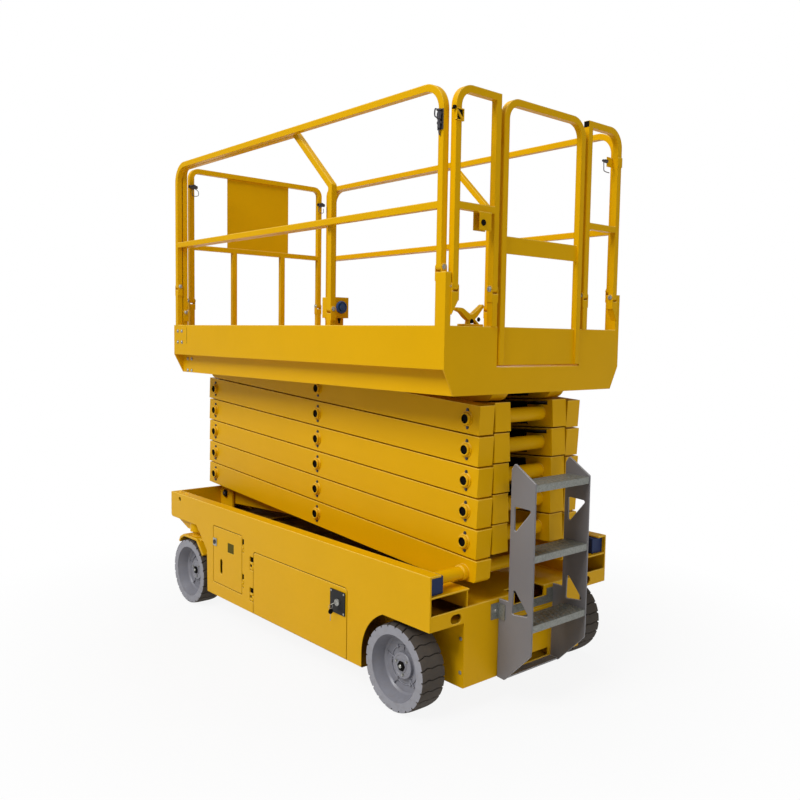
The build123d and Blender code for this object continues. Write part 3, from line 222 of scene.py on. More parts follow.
def finish(name, rgb, drift=0.1, dust=0.2, grain=900.0, rough=0.4, bump=0.05, speckle=0.0, dust_rgb=DUST_RGB,
           edge=0.0, edge_rgb=None, shade_rgb=None, **shader):
    """A material on the worn surface group. edge rounds the shaded normal over that many metres, the edge colour
    is a painted highlight that upward edges turn towards, and the tray colour lays painted shade over it."""
    m = bpy.data.materials.new(name)
    m.use_nodes = True
    tree = m.node_tree
    bsdf = tree.nodes["Principled BSDF"]
    worn = shader_group(tree, SURFACE, {}, Colour=linear(rgb), Dust_Colour=linear(dust_rgb), Drift=drift,
                        Dust=dust, Grain_Scale=grain, Roughness=rough - 0.07, Speckle=speckle)
    colour, roughness = worn["Colour"], worn["Roughness"]
    # painted highlight: upward edges turn towards the edge colour, where rounded edges catch the light
    if edge_rgb:
        colour = shader_group(tree, EDGE_LIGHT, {"Colour": colour}, Edge_Colour=linear(edge_rgb), Amount=1.0,
                              Radius=EDGE_SPREAD * edge)["Colour"]
    # painted shade on the tray floor and in the rear wheel arches, which are also made rougher there
    if shade_rgb:
        tray_shading = shader_group(tree, TRAY_SHADE, {"Colour": colour, "Roughness": roughness},
                            Dirt_Colour=linear(shade_rgb), Amount=0.95)
        colour, roughness = tray_shading["Colour"], tray_shading["Roughness"]
    tree.links.new(colour, bsdf.inputs["Base Color"])
    tree.links.new(roughness, bsdf.inputs["Roughness"])
    ridges = node(tree, "ShaderNodeBump", Height=worn["Height"], Strength=bump, Distance=BUMP_DEPTH)
    if edge:
        soft = node(tree, "ShaderNodeBevel", samples=4, Radius=edge).outputs[0]
        tree.links.new(soft, ridges.inputs["Normal"])
    tree.links.new(ridges.outputs[0], bsdf.inputs["Normal"])
    for key, value in shader.items():
        bsdf.inputs[key.replace("_", " ")].default_value = value
    return m


# the edge colours in YELLOW and ladder_grey are a painted highlight on upward edges
YELLOW = dict(rgb=(222, 168, 2), drift=0.12, dust=0.04, grain=700, rough=0.42, bump=0.03, edge=0.0025,
              edge_rgb=(255, 216, 96), Specular_IOR_Level=0.25, Specular_Tint=(1.0, 0.75, 0.12, 1.0))
# The rows with no names for their numbers give: colour, drift, dust, grain scale, roughness, bump.
MATS = {
    "yellow_paint": finish("yellow_paint", **YELLOW),
    # the tray look: yellow paint with painted shade on the tray floor and in the rear wheel arches
    "tray": finish("tray_paint", shade_rgb=(78, 42, 16), **YELLOW),
    "tyre": finish("tyre_side", (150, 150, 157), 0.25, 0.3, 420, 0.75, 0.22, dust_rgb=(112, 104, 96)),
    "tread": finish("tyre_tread", (70, 63, 56), 0.35, 0.5, 320, 0.88, 0.4, dust_rgb=(96, 85, 72)),
    "rim": finish("rim_paint", (132, 132, 140), 0.2, 0.2, 600, 0.36, 0.08, edge=0.0015),
    "ladder_grey": finish("ladder_grey", (122, 120, 122), 0.12, 0.08, 800, 0.45, 0.05, edge=0.002,
                          edge_rgb=(205, 205, 208), Specular_IOR_Level=0.35),
    "galvanised": finish("galvanised", (130, 132, 126), 0.3, 0.2, 160, 0.42, 0.25, speckle=0.5, Metallic=0.4),
    "wear_block": finish("wear_block", (18, 40, 84), 0.15, 0.12, 500, 0.5, 0.1, Specular_IOR_Level=0.25),
    "chrome": finish("chrome", (200, 200, 203), 0.02, 0.0, 500, 0.16, 0.02, Metallic=1.0),
    "black_paint": finish("black_paint", (15, 15, 16), 0.2, 0.12, 700, 0.45, 0.08, Specular_IOR_Level=0.25),
    "battery_case": finish("battery_case", (34, 30, 26), 0.2, 0.3, 700, 0.55, 0.15),
    "control_case": finish("control_case", (32, 33, 36), 0.2, 0.2, 900, 0.5, 0.12),
    "floor_plate": finish("floor_plate", (196, 142, 8), 0.2, 0.4, 120, 0.5, 0.3),
    "zinc": finish("zinc", (170, 170, 164), 0.15, 0.1, 600, 0.34, 0.06, Metallic=0.8),
    "steel": finish("steel", (74, 73, 78), 0.2, 0.2, 600, 0.38, 0.1, Metallic=0.6),
    "dark": finish("dark", (10, 8, 6), 0.1, 0.05, 700, 0.8, 0.1, Specular_IOR_Level=0.1),
    "glass_dark": finish("glass_dark", (86, 76, 14), 0.1, 0.05, 700, 0.6, 0.0, Specular_IOR_Level=0.1),
    "blue": finish("blue", (26, 74, 140), 0.1, 0.1, 600, 0.4, 0.05),
}
# A finer look than the record's slots, for the parts below.
# these parts take the tray look, with painted shade on the tray floor and in the rear wheel arches
SHADED_PARTS = ("chassis_deck", "chassis_box", "front_frame", "side_frame_left", "side_frame_right", "rear_frame")

for name, obj in frame["nodes"].items():
    obj.data.materials.clear()
    obj.data.materials.append(MATS["tray" if name in SHADED_PARTS else SLOTS[name]])


# ------------------------------------------------------------------ mesh makers
SIDES = ((1, "left"), (-1, "right"))    # the way out along Y, and its name
AXIS_POINT = 0.0001                     # a turned profile's last radius, where it closes at its middle
CREASE = math.radians(38)               # a smooth piece keeps its edges sharp from this angle


def piece(name, verts, quads, body, mat, mats=None, index=None, smooth=True):
    """One mesh object from vertex and quad arrays, riding on a body."""
    mesh = bpy.data.meshes.new(name)
    mesh.vertices.add(len(verts))
    mesh.vertices.foreach_set("co", np.asarray(verts, np.float32).ravel())
    quads = np.asarray(quads, np.int32)
    size = quads.shape[1]
    mesh.loops.add(quads.size)
    mesh.loops.foreach_set("vertex_index", quads.ravel())
    mesh.polygons.add(len(quads))
    mesh.polygons.foreach_set("loop_start", np.arange(0, quads.size, size, dtype=np.int32))
    if index is not None:
        mesh.polygons.foreach_set("material_index", np.asarray(index, np.int32))
    mesh.update()
    mesh.validate()
    mesh.polygons.foreach_set("use_smooth", np.full(len(mesh.polygons), smooth))
    for m in (mats or [MATS[mat]]):
        mesh.materials.append(m)
    obj = bpy.data.objects.new(name, mesh)
    bpy.context.scene.collection.objects.link(obj)
    if smooth:
        mesh.set_sharp_from_angle(angle=CREASE)
    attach(obj, body)
    return obj


def grid_quads(rows, cols, wrap_rows=False, wrap_cols=False):
    """Quads of a grid of rows x cols points, numbered row by row, joined round where asked."""
    r = np.arange(rows if wrap_rows else rows - 1)[:, None]
    c = np.arange(cols if wrap_cols else cols - 1)[None, :]
    r2, c2 = (r + 1) % rows, (c + 1) % cols
    return np.stack([r * cols + c, r * cols + c2, r2 * cols + c2, r2 * cols + c], -1).reshape(-1, 4)


def lathe(profile, axis, centre, turns=48, closed=False):
    """Turned surface: each (radius, height) point swept round the axis, as radius times (cos, sin) plus height.

    A closed profile joins its last point to its first, which makes a ring."""
    profile = np.asarray(profile, float)
    axis = np.asarray(axis, float)
    u = np.cross(axis, (0.0, 0.0, 1.0) if abs(axis[2]) < 0.9 else (1.0, 0.0, 0.0))
    u /= np.linalg.norm(u)
    v = np.cross(axis, u)
    t = np.linspace(0, 2 * np.pi, turns, endpoint=False)[:, None, None]
    ring = np.cos(t) * u + np.sin(t) * v
    verts = np.asarray(centre) + profile[None, :, :1] * ring + profile[None, :, 1:] * axis
    return verts.reshape(-1, 3), grid_quads(turns, len(profile), wrap_rows=True, wrap_cols=closed)


def merge(parts):
    """Several (verts, quads) as one."""
    verts, quads, base = [], [], 0
    for v, q in parts:
        verts.append(v)
        quads.append(q + base)
        base += len(v)
    return np.concatenate(verts), np.concatenate(quads)


def bolt(radius, height, washer=1.5):
    """Profile of a washer and a head with a chamfered top, closed at the middle."""
    w, h = radius * washer, radius * 0.22
    return [(w, 0), (w, h), (radius, h), (radius, height * 0.8), (radius * 0.86, height), (AXIS_POINT, height)]


def bolts(name, places, axis, radius, height, body, mat="zinc", turns=6):
    """A set of bolt heads on one body."""
    heads = [lathe(bolt(radius, height), axis, p, turns) for p in places]
    return piece(name, *merge(heads), body, mat, smooth=False)


def box_mesh(lo, hi, soft=0.0015):
    """A box with softened edges: a rounded-rectangle loop at four heights, closed by fans at both ends."""
    lo, hi = np.minimum(lo, hi), np.maximum(lo, hi)
    soft = min(soft, (hi - lo).min() * 0.3)
    angles = np.radians([0, 30, 60, 90])
    corners = [((hi[0], hi[1]), 0), ((lo[0], hi[1]), 90), ((lo[0], lo[1]), 180), ((hi[0], lo[1]), 270)]
    loops = []
    for z, inset in ((lo[2], soft), (lo[2] + soft, 0), (hi[2] - soft, 0), (hi[2], soft)):
        pts = []
        for (cx, cy), turn in corners:
            a = angles + math.radians(turn)
            sx, sy = (-1 if cx == hi[0] else 1), (-1 if cy == hi[1] else 1)
            centre = np.array([cx + sx * (soft + inset), cy + sy * (soft + inset)])
            pts.append(centre + soft * np.stack([np.cos(a), np.sin(a)], -1))
        loops.append(np.column_stack([np.concatenate(pts), np.full(16, z)]))
    middle = [np.tile([(lo[0] + hi[0]) / 2, (lo[1] + hi[1]) / 2, z], (16, 1)) for z in (lo[2], hi[2])]
    verts = np.concatenate([middle[0], *loops, middle[1]])
    return verts, grid_quads(6, 16, wrap_cols=True)[:, ::-1]


def boxes(name, spans, body, mat, soft=0.0015):
    """A set of softened boxes on one body, each given by its (x, y, z) spans."""
    parts = [box_mesh(np.array([s[0] for s in b]), np.array([s[1] for s in b]), soft) for b in spans]
    return piece(name, *merge(parts), body, mat, smooth=False)


# ------------------------------------------------------------------ swept tubes and sheets
def tube(path, radius, turns=10, closed=False):
    """A round rod along a smooth path, with a circle square to the path at each step.

    Between two points the path is the cubic whose slope at each end is half the step between that point's
    neighbours, so it runs through every point without a kink."""
    p = np.asarray(path, float)
    count = len(p)
    k = np.arange(count if closed else count - 1)
    t = np.linspace(0, 1, 7)[:-1][None, :, None]
    at = (lambda i: p[i % count]) if closed else (lambda i: p[np.clip(i, 0, count - 1)])
    a, b, c, d = (at(k + o)[:, None, :] for o in (-1, 0, 1, 2))
    line = 0.5 * (2 * b + (c - a) * t + (2 * a - 5 * b + 4 * c - d) * t ** 2 + (3 * b - a - 3 * c + d) * t ** 3)
    line = line.reshape(-1, 3)
    if not closed:
        line = np.vstack([line, p[-1]])
    ahead = np.roll(line, -1, 0) - np.roll(line, 1, 0)
    if not closed:
        ahead[0], ahead[-1] = line[1] - line[0], line[-1] - line[-2]
    ahead /= np.linalg.norm(ahead, axis=1, keepdims=True)
    spread = np.linalg.svd(line - line.mean(0))[2][2]
    side = np.cross(ahead, spread)
    side /= np.linalg.norm(side, axis=1, keepdims=True)
    up = np.cross(side, ahead)
    ang = np.linspace(0, 2 * np.pi, turns, endpoint=False)
    ring = line[:, None] + radius * (np.cos(ang)[:, None] * side[:, None] + np.sin(ang)[:, None] * up[:, None])
    if closed:
        return ring.reshape(-1, 3), grid_quads(len(line), turns, wrap_rows=True, wrap_cols=True)
    ends = [np.repeat(line[k][None, None], turns, 1) for k in (0, -1)]
    verts = np.concatenate([ends[0], ring, ends[1]]).reshape(-1, 3)
    return verts, grid_quads(len(line) + 2, turns, wrap_cols=True)


def strap(path, across, width, thick):
    """A flat bar bent along a path: its four-cornered section is turned to stay square to the path."""
    p = np.asarray(path, float)
    across = np.asarray(across, float)
    ahead = np.gradient(p, axis=0)
    ahead /= np.linalg.norm(ahead, axis=1, keepdims=True)
    up = np.cross(ahead, across)
    corner = np.array([(-1, -1), (1, -1), (1, 1), (-1, 1)]) / 2
    thick = np.reshape(thick, (-1, 1, 1))
    ring = p[:, None] + corner[:, :1] * width * across + corner[:, 1:] * thick * up[:, None]
    ends = [np.repeat(p[k][None, None], 4, 1) for k in (0, -1)]
    return np.concatenate([ends[0], ring, ends[1]]).reshape(-1, 3), grid_quads(len(p) + 2, 4, wrap_cols=True)


# ------------------------------------------------------------------ wheels
TREAD_STEPS = 720       # rows of the tyre's grid round the axle
LUGS = 24               # grooves round the tread
GROOVE_DEPTH = 0.008
RUBBER = 0.045          # from the tread in to the rim
RIBS = 5                # ribs and studs of a wheel


def tyre(end, side):
    """Solid tyre: a closed profile swept round the axle, with radius taken off in wavy grooves.

    The groove depth at angle t and share s of the width is a smooth step of the distance from t to the nearest
    groove line. Each line waves by a cosine of s and leans back with the size of s, so the lugs are chevrons,
    and the grooves widen with the cube of s towards the shoulders."""
    body = f"wheel_{end}_{side}"
    lo, hi = (np.array(v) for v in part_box(f"tyre_{end}_{side}"))
    centre, radius, half = (lo + hi) / 2, (hi[2] - lo[2]) / 2, (hi[1] - lo[1]) / 2
    inner = radius - RUBBER
    s = np.linspace(-1, 1, 33)
    crown = radius - 0.004 * np.abs(s) ** 4
    wall = (inner, inner + 0.004, radius - 0.012, radius - 0.005)
    side_in = np.array([(r, -half) for r in wall])
    side_out = side_in[::-1] * (1, -1)
    profile = np.concatenate([side_in, np.column_stack([crown, s * half * 0.985]), side_out])
    t = np.linspace(0, 2 * np.pi, TREAD_STEPS, endpoint=False)[:, None]
    r = np.tile(profile[None, :, 0], (TREAD_STEPS, 1))
    y = np.tile(profile[None, :, 1], (TREAD_STEPS, 1))
    share = np.clip(y / half, -1, 1)
    wave = 0.16 * np.cos(share * np.pi * 2.0) * 0.35 + 0.09 * np.abs(share)
    pitch = (t / (2 * np.pi) * LUGS + wave + 0.02 * np.sin(share * 9)) % 1.0
    distance = np.minimum(pitch, 1 - pitch)
    width = 0.045 + 0.05 * np.abs(share) ** 3
    cut = 1 - np.clip((distance - width * 0.55) / (width * 0.45), 0, 1)
    cut = cut * cut * (3 - 2 * cut)
    tread = (profile[:, 0] > radius - 0.0125)[None, :]
    r = r - np.where(tread, GROOVE_DEPTH * cut, 0)
    verts = np.stack([centre[0] + r * np.sin(t), centre[1] + y, centre[2] + r * np.cos(t)], -1).reshape(-1, 3)
    quads = grid_quads(TREAD_STEPS, len(profile), wrap_rows=True, wrap_cols=True)
    column = np.tile(np.arange(len(profile)), TREAD_STEPS)
    dark = (column >= 3) & (column <= len(profile) - 5)
    obj = piece(f"tyre_detail_{end}_{side}", verts, quads, body, "tyre", mats=[MATS["tyre"], MATS["tread"]],
                index=dark)
    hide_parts(f"tyre_{end}_{side}")


def hub(end, side):
    """Hub cap with a hexagon nut, a bright axle end and three bolts, inside a ring with ribs that end in studs.

    All are turned profiles but the ribs, which are flat bars laid along the wheel's radius."""
    way = 1 if side == "left" else -1
    body = f"wheel_{end}_{side}"
    lo, hi = (np.array(v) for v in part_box(f"tyre_{end}_{side}"))
    centre, axis = (lo + hi) / 2, (0, way, 0)

    def round_about(radius, out, count, start=0.0):
        a = np.radians(start + np.arange(count) * 360 / count)
        return centre + np.column_stack([radius * np.cos(a), np.full(count, way * out), radius * np.sin(a)])

    cap = [(0.0585, 0.002), (0.0585, 0.0125), (0.0560, 0.0148), (0.0475, 0.0150), (0.0455, 0.0132),
           (0.0300, 0.0132), (0.0285, 0.0160), (0.0240, 0.0162), (AXIS_POINT, 0.0162)]
    piece(f"hub_cap_{end}_{side}", *lathe(cap, axis, centre, 64), body, "rim")
    nut = [(0.0225, 0.0160), (0.0225, 0.0215), (0.0195, 0.0240), (0.0125, 0.0240), (0.0125, 0.0225),
           (AXIS_POINT, 0.0225)]
    piece(f"hub_nut_{end}_{side}", *lathe(nut, axis, centre, 6), body, "dark", smooth=False)
    tip = [(0.0085, 0.0225), (0.0085, 0.0265), (0.0065, 0.0285), (AXIS_POINT, 0.0290)]
    heads = [lathe(bolt(0.0052, 0.0065), axis, p, 6) for p in round_about(0.0385, 0.0132, 3, 20)]
    piece(f"hub_tip_{end}_{side}", *merge([lathe(tip, axis, centre, 20)] + heads), body, "zinc")
    ribs = []
    for a in np.radians(np.arange(RIBS) * 360 / RIBS + 15):
        reach = np.array([math.cos(a), 0, math.sin(a)])
        line = centre + np.outer(np.linspace(0.066, 0.106, 5), reach) + (0, way * 0.0012, 0)
        ribs.append(strap(line, np.cross((0, 1, 0), reach), 0.006, 0.006))
        ribs.append(lathe(bolt(0.0042, 0.006, 1.2), axis, centre + 0.111 * reach, 12))
    piece(f"hub_ribs_{end}_{side}", *merge(ribs), body, "rim", smooth=False)
    ring = [(0.0870, -0.001), (0.0870, 0.0006), (0.0855, 0.0024), (0.0825, 0.0024), (0.0810, 0.0006),
            (0.0810, -0.001)]
    piece(f"hub_ring_{end}_{side}", *lathe(ring, axis, centre, 64, closed=True), body, "rim")


for end in ("front", "rear"):
    for side in ("left", "right"):
        tyre(end, side)
        hub(end, side)


# ------------------------------------------------------------------ stack pins
PIN_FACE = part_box("inner_arm_2")[1][1] + 0.1058     # the outer arms' outer face, from the middle plane
PAIRS = 6                                           # pairs of arms


def pin_marks():
    """Each stack pin's end on both sides: a raised ring round a hollow whose dark colour is painted shade of a
    bored end, with keeper bolts above and below.

    The ring is a closed section turned about the pin. The hollow is a cup: its wall goes down along the axis,
    then the floor runs in to the middle."""
    rear_x = pos("low_slide_pin")[0]
    for n in range(1, PAIRS + 1):
        spots = [pos(f"middle_pin_{n}")]
        if n > 1:
            spots.append(np.array([rear_x, 0, pos(f"front_pin_{n - 1}")[2]]))
        if n < PAIRS:
            spots.append(pos(f"front_pin_{n}"))
        for way, label in SIDES:
            axis = (0, way, 0)
            cups, rings, heads = [], [], []
            for x, _, z in spots:
                at = (x, way * PIN_FACE, z)
                cups.append(lathe([(0.0199, 0.0060), (0.0199, 0.0006), (AXIS_POINT, 0.0006)], axis, at, 32))
                rings.append(lathe([(0.0262, -0.001), (0.0262, 0.0075), (0.0245, 0.0090), (0.0215, 0.0090),
                                    (0.0200, 0.0075), (0.0200, -0.001)], axis, at, 32, closed=True))
                for rise in (-0.0375, 0.0375):
                    keeper = (x - 0.004, way * (PIN_FACE - 0.008), z + rise)
                    heads.append(lathe(bolt(0.0062, 0.006), axis, keeper, 6))
            # painted shade: the hollow's dark colour stands for the shadow inside a bored pin end
            piece(f"pin_hollow_{n}_{label}", *merge(cups), f"outer_arm_{n}", "dark")
            piece(f"pin_ring_{n}_{label}", *merge(rings), f"outer_arm_{n}", "yellow_paint")
            piece(f"pin_bolts_{n}_{label}", *merge(heads), f"outer_arm_{n}", "steel", smooth=False)


pin_marks()


FIRST_BAR = 4       # the lowest pair whose guide has a bar over its end


def hose_guides():
    """Black guides on the right arms' inner faces: a shallow tray along the arm, and a lipped bar over its end.

    Both are a six-cornered section carried along the arm's slope, its reach waving by a cosine of the run."""
    start, slope_x = pos("low_slide_pin")[0], pos("lift")[0] - pos("low_slide_pin")[0]
    slope = math.atan2(pos("front_pin_1")[2] - pos("lift")[2], slope_x)
    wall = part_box("inner_arm_2")[0][1] + 0.0985
    tray = [(0, -0.052), (0, 0.052), (1, 0.052), (1, 0.046), (0.15, 0.046), (0.15, -0.052)]
    bar = [(0, 0.040), (0, 0.056), (1, 0.056), (1, 0.050), (0.12, 0.050), (0.12, 0.040)]
    for n in range(2, PAIRS + 1):
        z = pos(f"front_pin_{n}")[2] if n < PAIRS else pos("top_slide_pin")[2]
        parts = []
        for section, run, reach in ((tray, np.linspace(0.075, 0.90, 12), 0.016),
                                    (bar, np.linspace(-0.045, 0.30, 24), 0.034)):
            if section is bar and n < FIRST_BAR:
                continue
            wide = reach * (1 + 0.3 * np.cos(run * 40))
            ring = np.array([[(start + r * math.cos(slope) + h * math.sin(slope), wall + s * w,
                               z + h * math.cos(slope) - r * math.sin(slope)) for s, h in section]
                             for r, w in zip(run, wide)])
            ends = np.stack([np.tile(ring[k].mean(0), (6, 1)) for k in (0, -1)])
            parts.append((np.concatenate([ends[:1], ring, ends[1:]]).reshape(-1, 3),
                          grid_quads(len(run) + 2, 6, wrap_cols=True)))
        piece(f"hose_guide_{n}", *merge(parts), f"inner_arm_{n}", "black_paint", smooth=False)


hose_guides()


# ------------------------------------------------------------------ doors
AX = AXLE[0]
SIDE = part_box("control_door")[1][1]
SINK = 0.0005       # how far a fitting goes into the face that it's on


def control_door():
    """Key switch and window pane of the control bay's door."""
    x, z = AX + 1.569, 0.431
    boxes("switch_plate", [((x - 0.0215, x + 0.0185), (SIDE - SINK, SIDE + 0.002), (z - 0.022, z + 0.022))],
          "control_door", "zinc")
    barrel = [(0.0125, 0.0015), (0.0125, 0.006), (0.010, 0.0072), (AXIS_POINT, 0.0072)]
    piece("switch_barrel", *lathe(barrel, (0, 1, 0), (x, SIDE, z), 24), "control_door", "steel")
    boxes("switch_slot", [((x - 0.0024, x + 0.0024), (SIDE + 0.0068, SIDE + 0.0080), (z - 0.0085, z + 0.0085))],
          "control_door", "dark", soft=0.0003)
    boxes("window_pane", [((AX + 1.3615, AX + 1.4275), (SIDE - 0.0032, SIDE - 0.0022), (0.3985, 0.4515))],
          "control_door", "glass_dark", soft=0.0004)


def battery_door():
    """Black latch plate with four screws, a lock and its key with a fob that hangs from it."""
    x, z = AX + 0.403, 0.378
    plate = ((AX + 0.348, AX + 0.462), (SIDE - SINK, SIDE + 0.003), (z - 0.055, z + 0.055))
    boxes("latch_plate", [plate], "battery_door", "black_paint", soft=0.0014)
    screws = [(x + i, SIDE + 0.0028, z + k) for i in (-0.046, 0.05) for k in (-0.046, 0.046)]
    bolts("latch_screws", screws, (0, 1, 0), 0.0035, 0.002, "battery_door", turns=12)
    lock = [(0.0165, 0.0022), (0.0165, 0.009), (0.014, 0.011), (0.0075, 0.0112), (0.007, 0.0095),
            (AXIS_POINT, 0.0095)]
    piece("latch_lock", *lathe(lock, (0, 1, 0), (x, SIDE, z), 32), "battery_door", "zinc")
    reach = SIDE + 0.009
    out = reach + 0.022
    blade = [(x, reach - 0.002, z), (x + 0.006, reach + 0.010, z - 0.002), (x + 0.014, out, z - 0.008)]
    ring = [(x + 0.014, out + 0.011 * math.cos(a), z - 0.018 + 0.011 * math.sin(a))
            for a in np.linspace(0, 2 * np.pi, 9)[:-1]]
    low = [(x + 0.014, out, z - 0.050), (x + 0.015, out + 0.001, z - 0.085)]
    parts = [tube(blade, 0.0016), tube(ring, 0.0011, closed=True), tube(low, 0.0016)]
    piece("key_steel", *merge(parts), "battery_door", "zinc")
    fob = [(AXIS_POINT, -0.0035), (0.008, -0.0035), (0.0125, -0.002), (0.0125, 0.002), (0.008, 0.0035),
           (AXIS_POINT, 0.0035)]
    piece("key_fob", *lathe(fob, (1, 0, 0), (x + 0.0145, out, z - 0.041), 24), "battery_door", "dark")


def hinge_notch_shade():
    """Dark sheets close the bays behind the hinge notches as painted shade, where the bays lie in shadow."""
    rows = (("battery", 1, (1.148, 1.200), (0.208, 0.376)), ("pump", -1, (1.148, 1.200), (0.208, 0.376)),
            ("control", 1, (1.246, 1.280), (0.262, 0.455)))
    for name, way, xs, zs in rows:
        y = way * (SIDE - 0.0125)
        wide, deep = (AX + xs[0], AX + xs[1]), (y - 0.0006, y + 0.0006)
        # painted shade: a dark sheet behind each hinge notch
        boxes(f"hinge_back_{name}", [(wide, deep, (z - 0.028, z + 0.055)) for z in zs], "chassis", "dark",
              soft=0.0003)


control_door()
battery_door()
hinge_notch_shade()


# ------------------------------------------------------------------ chassis and ladder trim
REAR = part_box("rear_frame")[0][0]
BASE_PIN_END = 0.2705           # the lowest pin's end face, from the middle plane
TREAD_LEVELS = (0.393, 0.695, 0.998)
TREAD_PITCH = 0.030
HOLE_RIM = 0.0065               # a tread hole's radius at its raised rim
TREAD_THICK = 0.0012            # the tread sheet's thickness


def chassis_trim():
    """Screws of the lower box, bolts of the ladder bracket and top flanges, the lowest pin's ends, a raised
    rear cover and dark discs behind the tie-down holes, which are painted shade seen through them."""
    cup = [(0.0240, -0.001), (0.0240, 0.0045), (0.0225, 0.0058), (AXIS_POINT, 0.0058)]
    for way, label in SIDES:
        screws = [(REAR + 0.018, way * 0.400, z) for z in (0.331, 0.183)]
        bolts(f"box_screws_{label}", screws, (0, way, 0), 0.006, 0.004, "chassis", turns=12)
    lo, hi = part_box("ladder_bracket")
    places = [(lo[0] + 0.0385, way * (hi[1] - 0.021), 0.424) for way in (1, -1)]
    bolts("bracket_bolts", places, (-1, 0, 0), 0.0085, 0.009, "chassis")
    pin_x, _, pin_z = pos("lift")
    for way, label in SIDES:
        at = (pin_x, way * BASE_PIN_END, pin_z)
        piece(f"base_pin_{label}", *lathe(cup, (0, way, 0), at, 32), "chassis", "dark")
        at = (pin_x, way * (BASE_PIN_END + 0.005), pin_z)
        bolts(f"base_pin_bolt_{label}", [at], (0, way, 0), 0.0125, 0.011, "chassis", mat="steel")
    boxes("rear_cover", [((REAR - 0.0018, REAR + SINK), (-0.168, 0.168), (0.172, 0.372))], "chassis",
          "yellow_paint", soft=0.0008)
    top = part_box("side_frame_left")[1][2]
    shade_disc = [(0.0240, -0.0145), (0.0240, -0.0130), (AXIS_POINT, -0.0130)]
    for way, label in SIDES:
        hole_x, _, hole_z = MOUNTS[f"tie_down_{label}"]
        at = (hole_x, way * SIDE, hole_z)
        # painted shade: a dark disc behind each tie-down hole, so the opening reads as in shadow
        piece(f"hole_shade_{label}", *lathe(shade_disc, (0, way, 0), at, 24), "chassis", "dark")
        places = [(AX + x, way * (SIDE - 0.036), top - SINK) for x in (1.985, 2.055)]
        bolts(f"flange_bolts_{label}", places, (0, 0, 1), 0.009, 0.008, "chassis", mat="yellow_paint")


def slide_pads():
    """Blue pads in the channel ends, wider than the blocks they cap, with softened edges."""
    lo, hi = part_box("low_slides")
    for way, label in SIDES:
        pad = ((lo[0] - 0.0010, lo[0] + 0.060), (way * 0.512, way * (hi[1] - SINK)),
               (lo[2] + SINK, hi[2] - SINK))
        boxes(f"slide_pad_{label}", [pad], "low_slides", "wear_block", soft=0.003)


def treads():
    """Punched ladder treads: a sheet with a raised rim round each hole, in rows set half a pitch apart.

    Height is a smooth bump of the distance from the nearest hole centre, highest where that distance is the
    hole's radius, and dips inside it."""
    lo, hi = (np.array(v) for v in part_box("ladder_steps"))
    x = np.linspace(lo[0] + 0.003, hi[0] - 0.003, 56)
    y = np.linspace(lo[1] + 0.003, hi[1] - 0.003, 176)
    gx, gy = np.meshgrid(x, y, indexing="ij")
    u = (gx - lo[0]) / TREAD_PITCH
    v = gy / TREAD_PITCH + 0.5 * (np.floor(u) % 2)
    far = np.hypot(u - np.floor(u) - 0.5, v - np.floor(v) - 0.5) * TREAD_PITCH
    height = 0.0026 * np.exp(-((far - HOLE_RIM) / 0.0022) ** 2) - 0.0006 * np.exp(-(far / 0.004) ** 4)
    edge = np.minimum.reduce([gx - x[0], x[-1] - gx, gy - y[0], y[-1] - gy])
    height = height * np.clip(edge / 0.006, 0, 1)
    parts = []
    for level in TREAD_LEVELS:
        top = np.stack([gx, gy, level + TREAD_THICK / 2 + height], -1)
        rim = np.concatenate([top[:, 0], top[-1], top[::-1, -1], top[0, ::-1]])
        parts.append((top.reshape(-1, 3), grid_quads(len(x), len(y))))
        low_rim = rim - (0, 0, TREAD_THICK)
        middle = np.tile([x.mean(), y.mean(), level - TREAD_THICK / 2], (len(rim), 1))
        for pair in ((rim, low_rim), (low_rim, middle)):
            parts.append((np.stack(pair).reshape(-1, 3), grid_quads(2, len(rim), wrap_cols=True)))
    piece("ladder_treads", *merge(parts), "chassis", "galvanised")


chassis_trim()
slide_pads()
treads()


# ------------------------------------------------------------------ platform trim
SKIRT = 0.5875          # the platform skirt's outer face, from the middle plane
SKIRT_STEP = 0.0565     # how far in the skirt's lower part stands
HALF_TUBE = 0.0145      # from a rail's outer face to its tube's middle
FOLD_FACE = 0.0185      # from a fold pin's post to the bolt's washer
REAR_POST = 0.230       # between the two posts of a rear rail


def platform_trim():
    """Bolts of the front brackets, and a shallow seam line on the toe board, on both sides."""
    for way, label in SIDES:
        out = way * SKIRT
        upper = [(AX + x, out, z) for x in (1.996, 2.048) for z in (1.556, 1.621)]
        lower = [(AX + x, way * (SKIRT - SKIRT_STEP), z) for x in (1.982, 2.032) for z in (1.386, 1.456)]
        bolts(f"skirt_bolts_{label}", upper + lower, (0, way, 0), 0.0075, 0.006, "platform")
        seam = ((AX + 1.934, AX + 1.9365), (out - 0.0004, out + 0.0005), (1.548, 1.643))
        boxes(f"skirt_seam_{label}", [seam], "platform", "dark", soft=0.0002)


